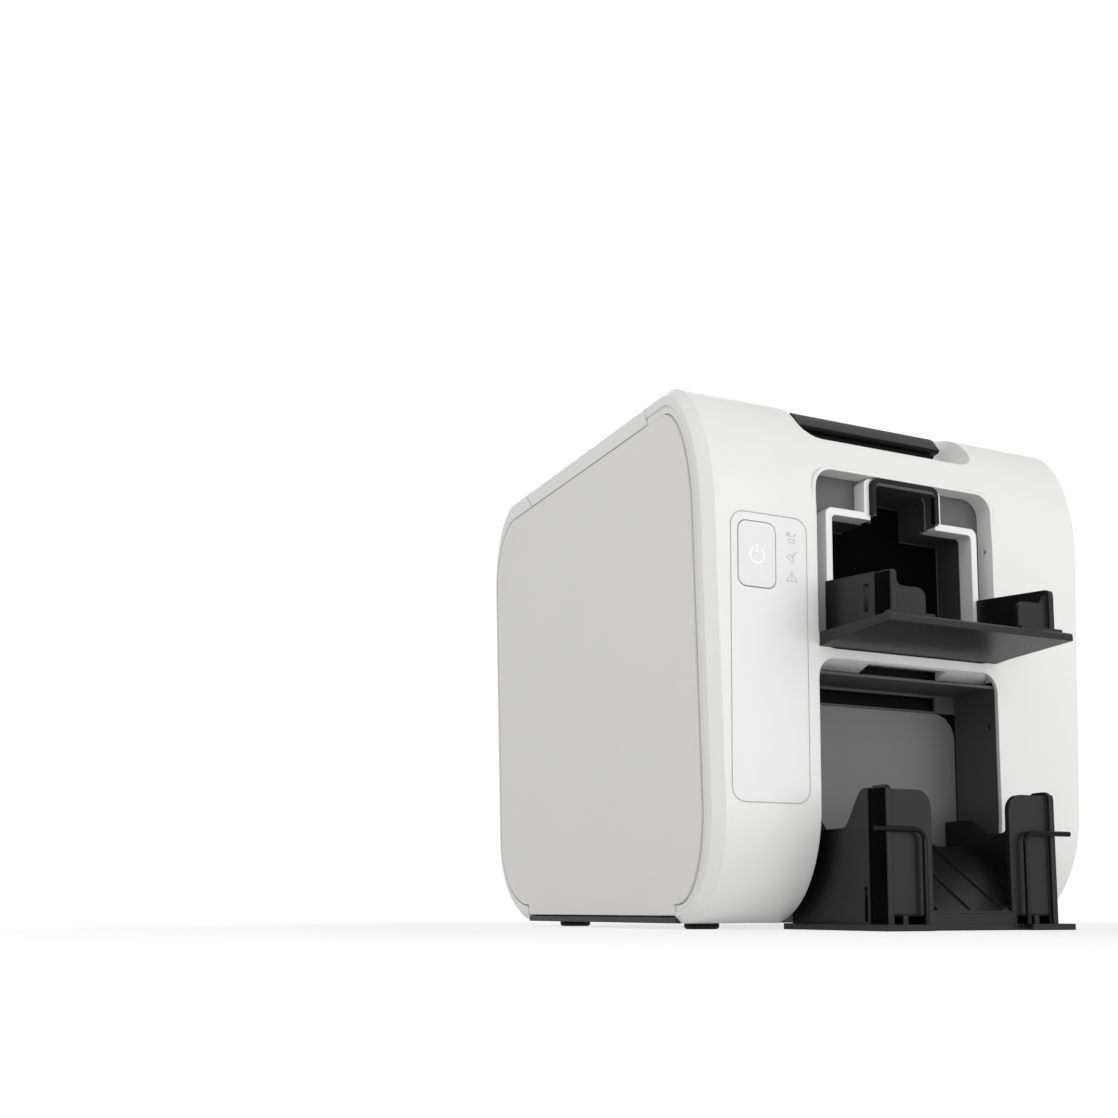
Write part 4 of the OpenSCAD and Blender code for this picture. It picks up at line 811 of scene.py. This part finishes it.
def gear_face(name, body, node):
    """Raised rings on the outer face of a gear, whose size and place come from its node."""
    low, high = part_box(node)
    centre = (0, (low.y + high.y) / 2, (low.z + high.z) / 2)
    root = (high.z - low.z) / 2 - 0.0020
    face = high.x
    bm = bmesh.new()
    for outer, inner in ((root, root - rim_wide), (hub_r, hub_r - rim_wide * 0.8)):
        turned(bm, [(inner, -0.0002), (outer, -0.0002), (outer, rim_rise * 0.7), (outer - 0.0002, rim_rise),
                    (inner + 0.0002, rim_rise), (inner, rim_rise * 0.7), (inner, -0.0002)],
               (face, centre[1], centre[2]), "x", 48)
    bmesh.ops.remove_doubles(bm, verts=bm.verts, dist=0.000001)
    return add_piece(name, bm, body, acetal)


gear_face("pick_idler_face", "pick_idler_gear", "pick_idler")
gear_face("feed_idler_face", "feed_idler_gear", "feed_idler")
gear_face("transport_idler_face", "transport_idler_gear", "transport_idler")
gear_face("drive_gear_face", "drive_gear_wheel", "drive_gear")
gear_face("takeup_gear_face", "takeup", "takeup_gear")


# ---------------------------------------------------------------- Drive motor
# A square stepper motor: black end bells with a stack of steel laminations between them,
# bolted at the corners.
motor_paint = moulded("Motor paint", (0.03, 0.03, 0.032), 0.4, grain=1200.0, relief=0.00004,
                      drift=0.1, edge=0.0006)
finish_with(motor_paint, "drive_motor")
lamination = metal("Lamination steel", (0.42, 0.42, 0.43), 0.42, stretch=(30, 1, 1), scale=60.0, drift=0.3)
motor_low, motor_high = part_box("drive_motor")
motor_y = (motor_low.y + motor_high.y) / 2
motor_z = (motor_low.z + motor_high.z) / 2
motor_half = (motor_high.y - motor_low.y) / 2
corner_r = 0.004
stack_proud = 0.0003
plate_half = motor_half + stack_proud


bm = bmesh.new()
plates = 9
stack_start = motor_low.x + 0.007
stack_end = motor_high.x - 0.008
pitch = (stack_end - stack_start) / plates
for i in range(plates):
    prism(bm, rounded_box((motor_y, motor_z), plate_half, plate_half, corner_r + stack_proud, 5),
          stack_start + i * pitch, stack_start + (i + 0.82) * pitch, axis="x")
add_piece("motor_laminations", bm, "printer", lamination)
screws("motor_bolts", "printer",
       [(motor_low.x, motor_y + u * 0.013, motor_z + w * 0.013) for u in (-1, 1) for w in (-1, 1)],
       "x", -1, 0.0022)


# ---------------------------------------------------------------- Ribbon motor
# A small can motor: a drawn steel can with a black nylon end cap and two solder tags.
can_low, can_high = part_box("ribbon_motor")
can_y = (can_low.y + can_high.y) / 2
can_z = (can_low.z + can_high.z) / 2
can_r = (can_high.y - can_low.y) / 2
cap_nylon = moulded("Motor cap nylon", (0.02, 0.02, 0.02), 0.5, grain=1500.0, drift=0.1, edge=0.0003)
bm = bmesh.new()
turned(bm, [(0, -0.0002), (can_r - 0.0008, -0.0002), (can_r - 0.0008, 0.0007), (can_r - 0.0012, 0.0011),
            (0.0038, 0.0011), (0.0038, 0.0022), (0.0032, 0.0026), (0, 0.0026)],
       (can_high.x, can_y, can_z), "x")
add_piece("ribbon_motor_cap", bm, "printer", cap_nylon)
bm = bmesh.new()
for side in (-1, 1):
    tag_y = can_y + side * 0.0075
    prism(bm, [(can_high.x + 0.0009, can_z - 0.0011), (can_high.x + 0.0042, can_z - 0.0011),
               (can_high.x + 0.0050, can_z), (can_high.x + 0.0042, can_z + 0.0011),
               (can_high.x + 0.0009, can_z + 0.0011)], tag_y - 0.0002, tag_y + 0.0002, axis="y")
add_piece("ribbon_motor_tags", bm, "printer", brass)


# ---------------------------------------------------------------- Ribbon and cartridge
# A grey-blue cartridge frame with a spool of dye ribbon at each end and the film between. The
# wound film shows its edges as fine darker rings, with a slow drift in shade.
cartridge_blue = moulded("Cartridge plastic", (0.055, 0.085, 0.16), 0.4, grain=1300.0,
                         drift=0.08, edge=0.0005)
finish_with(cartridge_blue, "ribbon_cartridge")


def wound_film(name, panel, dark, rough):
    """Film wound on a core: fine darker rings across the roll, and a slow drift in shade."""
    mat = moulded(name, panel, rough, grain=300.0, relief=0.00001, drift=0.12, edge=0)
    tree = mat.node_tree
    n, link = tree.nodes, tree.links
    bsdf = next(x for x in n if x.type == "BSDF_PRINCIPLED")
    base = bsdf.inputs["Base Color"].links[0].from_socket
    where = n.new("ShaderNodeTexCoord")
    rings = n.new("ShaderNodeTexWave")
    rings.wave_type = "BANDS"
    rings.bands_direction = "X"
    rings.inputs["Scale"].default_value = 380.0
    rings.inputs["Distortion"].default_value = 1.5
    link.new(where.outputs["Object"], rings.inputs["Vector"])
    mix = n.new("ShaderNodeMix")
    mix.data_type = "RGBA"
    mix.inputs["B"].default_value = (*dark, 1)
    weak = n.new("ShaderNodeMath")
    weak.operation = "MULTIPLY"
    weak.inputs[1].default_value = 0.35
    link.new(rings.outputs["Fac"], weak.inputs[0])
    link.new(weak.outputs[0], mix.inputs["Factor"])
    link.new(base, mix.inputs["A"])
    link.new(mix.outputs["Result"], bsdf.inputs["Base Color"])
    return mat


fresh_film = wound_film("Fresh ribbon", (0.34, 0.035, 0.10), (0.16, 0.015, 0.05), 0.25)
finish_with(fresh_film, "supply_spool")
used_film = wound_film("Used ribbon", (0.045, 0.02, 0.05), (0.02, 0.01, 0.02), 0.25)
finish_with(used_film, "takeup_spool")
flat_film = moulded("Ribbon film", (0.30, 0.03, 0.10), 0.15, grain=240.0, relief=0.00001, drift=0.25, edge=0)
finish_with(flat_film, "ribbon_film")
core_white = moulded("Spool core", (0.74, 0.74, 0.72), 0.4, grain=1500.0, edge=0.0003)


def spool_caps(name, body, node):
    """Moulded end plug in each end of a spool, with a raised ring that the cartridge turns on."""
    low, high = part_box(node)
    centre_y, centre_z = (low.y + high.y) / 2, (low.z + high.z) / 2
    bm = bmesh.new()
    for x, out in ((low.x + 0.0042, -1), (high.x - 0.0042, 1)):
        turned(bm, [(0.0042, 0), (0.0120, 0), (0.0120, 0.0004 * out), (0.0116, 0.0006 * out),
                    (0.0042, 0.0006 * out), (0.0042, 0)], (x, centre_y, centre_z), "x", 40)
    bmesh.ops.remove_doubles(bm, verts=bm.verts, dist=0.000001)
    return add_piece(name, bm, body, core_white)


spool_caps("supply_spool_caps", "supply", "supply_spool")
spool_caps("takeup_spool_caps", "takeup", "takeup_spool")


# ---------------------------------------------------------------- Main board
# Green solder mask on glass fibre. It carries the processor and two smaller chips in black,
# three capacitors in foil sleeves, and a row of white plug housings.
mask_green = moulded("Solder mask", (0.012, 0.10, 0.045), 0.28, grain=1400.0, relief=0.00002,
                     drift=0.15, edge=0.0002)
finish_with(mask_green, "main_board", "panel_board")
chip_black = moulded("Chip resin", (0.018, 0.018, 0.019), 0.45, grain=2500.0, relief=0.000006,
                     drift=0.1, edge=0)
plug_cream = moulded("Plug nylon", (0.72, 0.70, 0.62), 0.4, grain=1800.0, relief=0.00001, edge=0)
foil_sleeve = moulded("Capacitor sleeve", (0.03, 0.05, 0.12), 0.25, grain=1800.0, relief=0.000006, edge=0)
solder = metal("Solder", (0.70, 0.70, 0.71), 0.3, scale=2000.0, edge=0)
over = 0.0002
face_x = board_low.x + 0.0016
chips = [(0.050, 0.050, 0.024, 0.024, 0.0020), (0.092, 0.070, 0.014, 0.014, 0.0015),
         (0.090, 0.030, 0.010, 0.016, 0.0015)]
bm = bmesh.new()
legs = bmesh.new()
for y, z, wide, tall, thick in chips:
    y0, z0 = board_low.y + y - over, board_low.z + z - over
    y1, z1 = y0 + wide + 2 * over, z0 + tall + 2 * over
    faces = prism(bm, [(y0, z0), (y1, z0), (y1, z1), (y0, z1)], face_x + 0.0004, face_x + thick + over,
                  axis="x")
    soften_edges(bm, faces, 0.0002, 1)
    count = round(wide / 0.0012)
    for i in range(count):
        leg_y = y0 + (i + 0.5) * (y1 - y0) / count
        for edge_z, away in ((z0, -1), (z1, 1)):
            prism(legs, [(leg_y - 0.0002, edge_z), (leg_y + 0.0002, edge_z),
                         (leg_y + 0.0002, edge_z + away * 0.0010), (leg_y - 0.0002, edge_z + away * 0.0010)],
                  face_x, face_x + 0.0004, axis="x")
add_piece("board_chips", bm, "printer", chip_black)
add_piece("board_chip_legs", legs, "printer", solder)
bm = bmesh.new()
for i in range(3):
    turned(bm, [(0, -0.0001), (0.0052, -0.0001), (0.0052, 0.0102), (0.0049, 0.0108), (0.0052, 0.0114),
                (0.0052, 0.0129), (0.0048, 0.0133), (0.0040, 0.0133), (0.0040, 0.0131), (0, 0.0131)],
           (face_x, board_low.y + 0.022, board_low.z + 0.030 + 0.016 * i), "x", 28)
add_piece("board_capacitors", bm, "printer", foil_sleeve)
bm = bmesh.new()
for i in range(4):
    y0 = board_low.y + 0.036 + 0.022 * i - over
    z0 = board_high.z - 0.012 - over
    y1, z1 = y0 + 0.014 + 2 * over, z0 + 0.006 + 2 * over
    faces = prism(bm, [(y0, z0), (y1, z0), (y1, z1), (y0, z1)], face_x, face_x + 0.0062, axis="x")
    soften_edges(bm, faces, 0.0003, 2)
add_piece("board_plug_housings", bm, "printer", plug_cream)


# ---------------------------------------------------------------- Sockets
# The power inlet is a round jack moulded in black nylon. The data port beside it is a folded
# and plated steel shell.
socket_black = moulded("Socket nylon", (0.02, 0.02, 0.02), 0.45, grain=1500.0, drift=0.1, edge=0.0004)
finish_with(socket_black, "power_inlet")
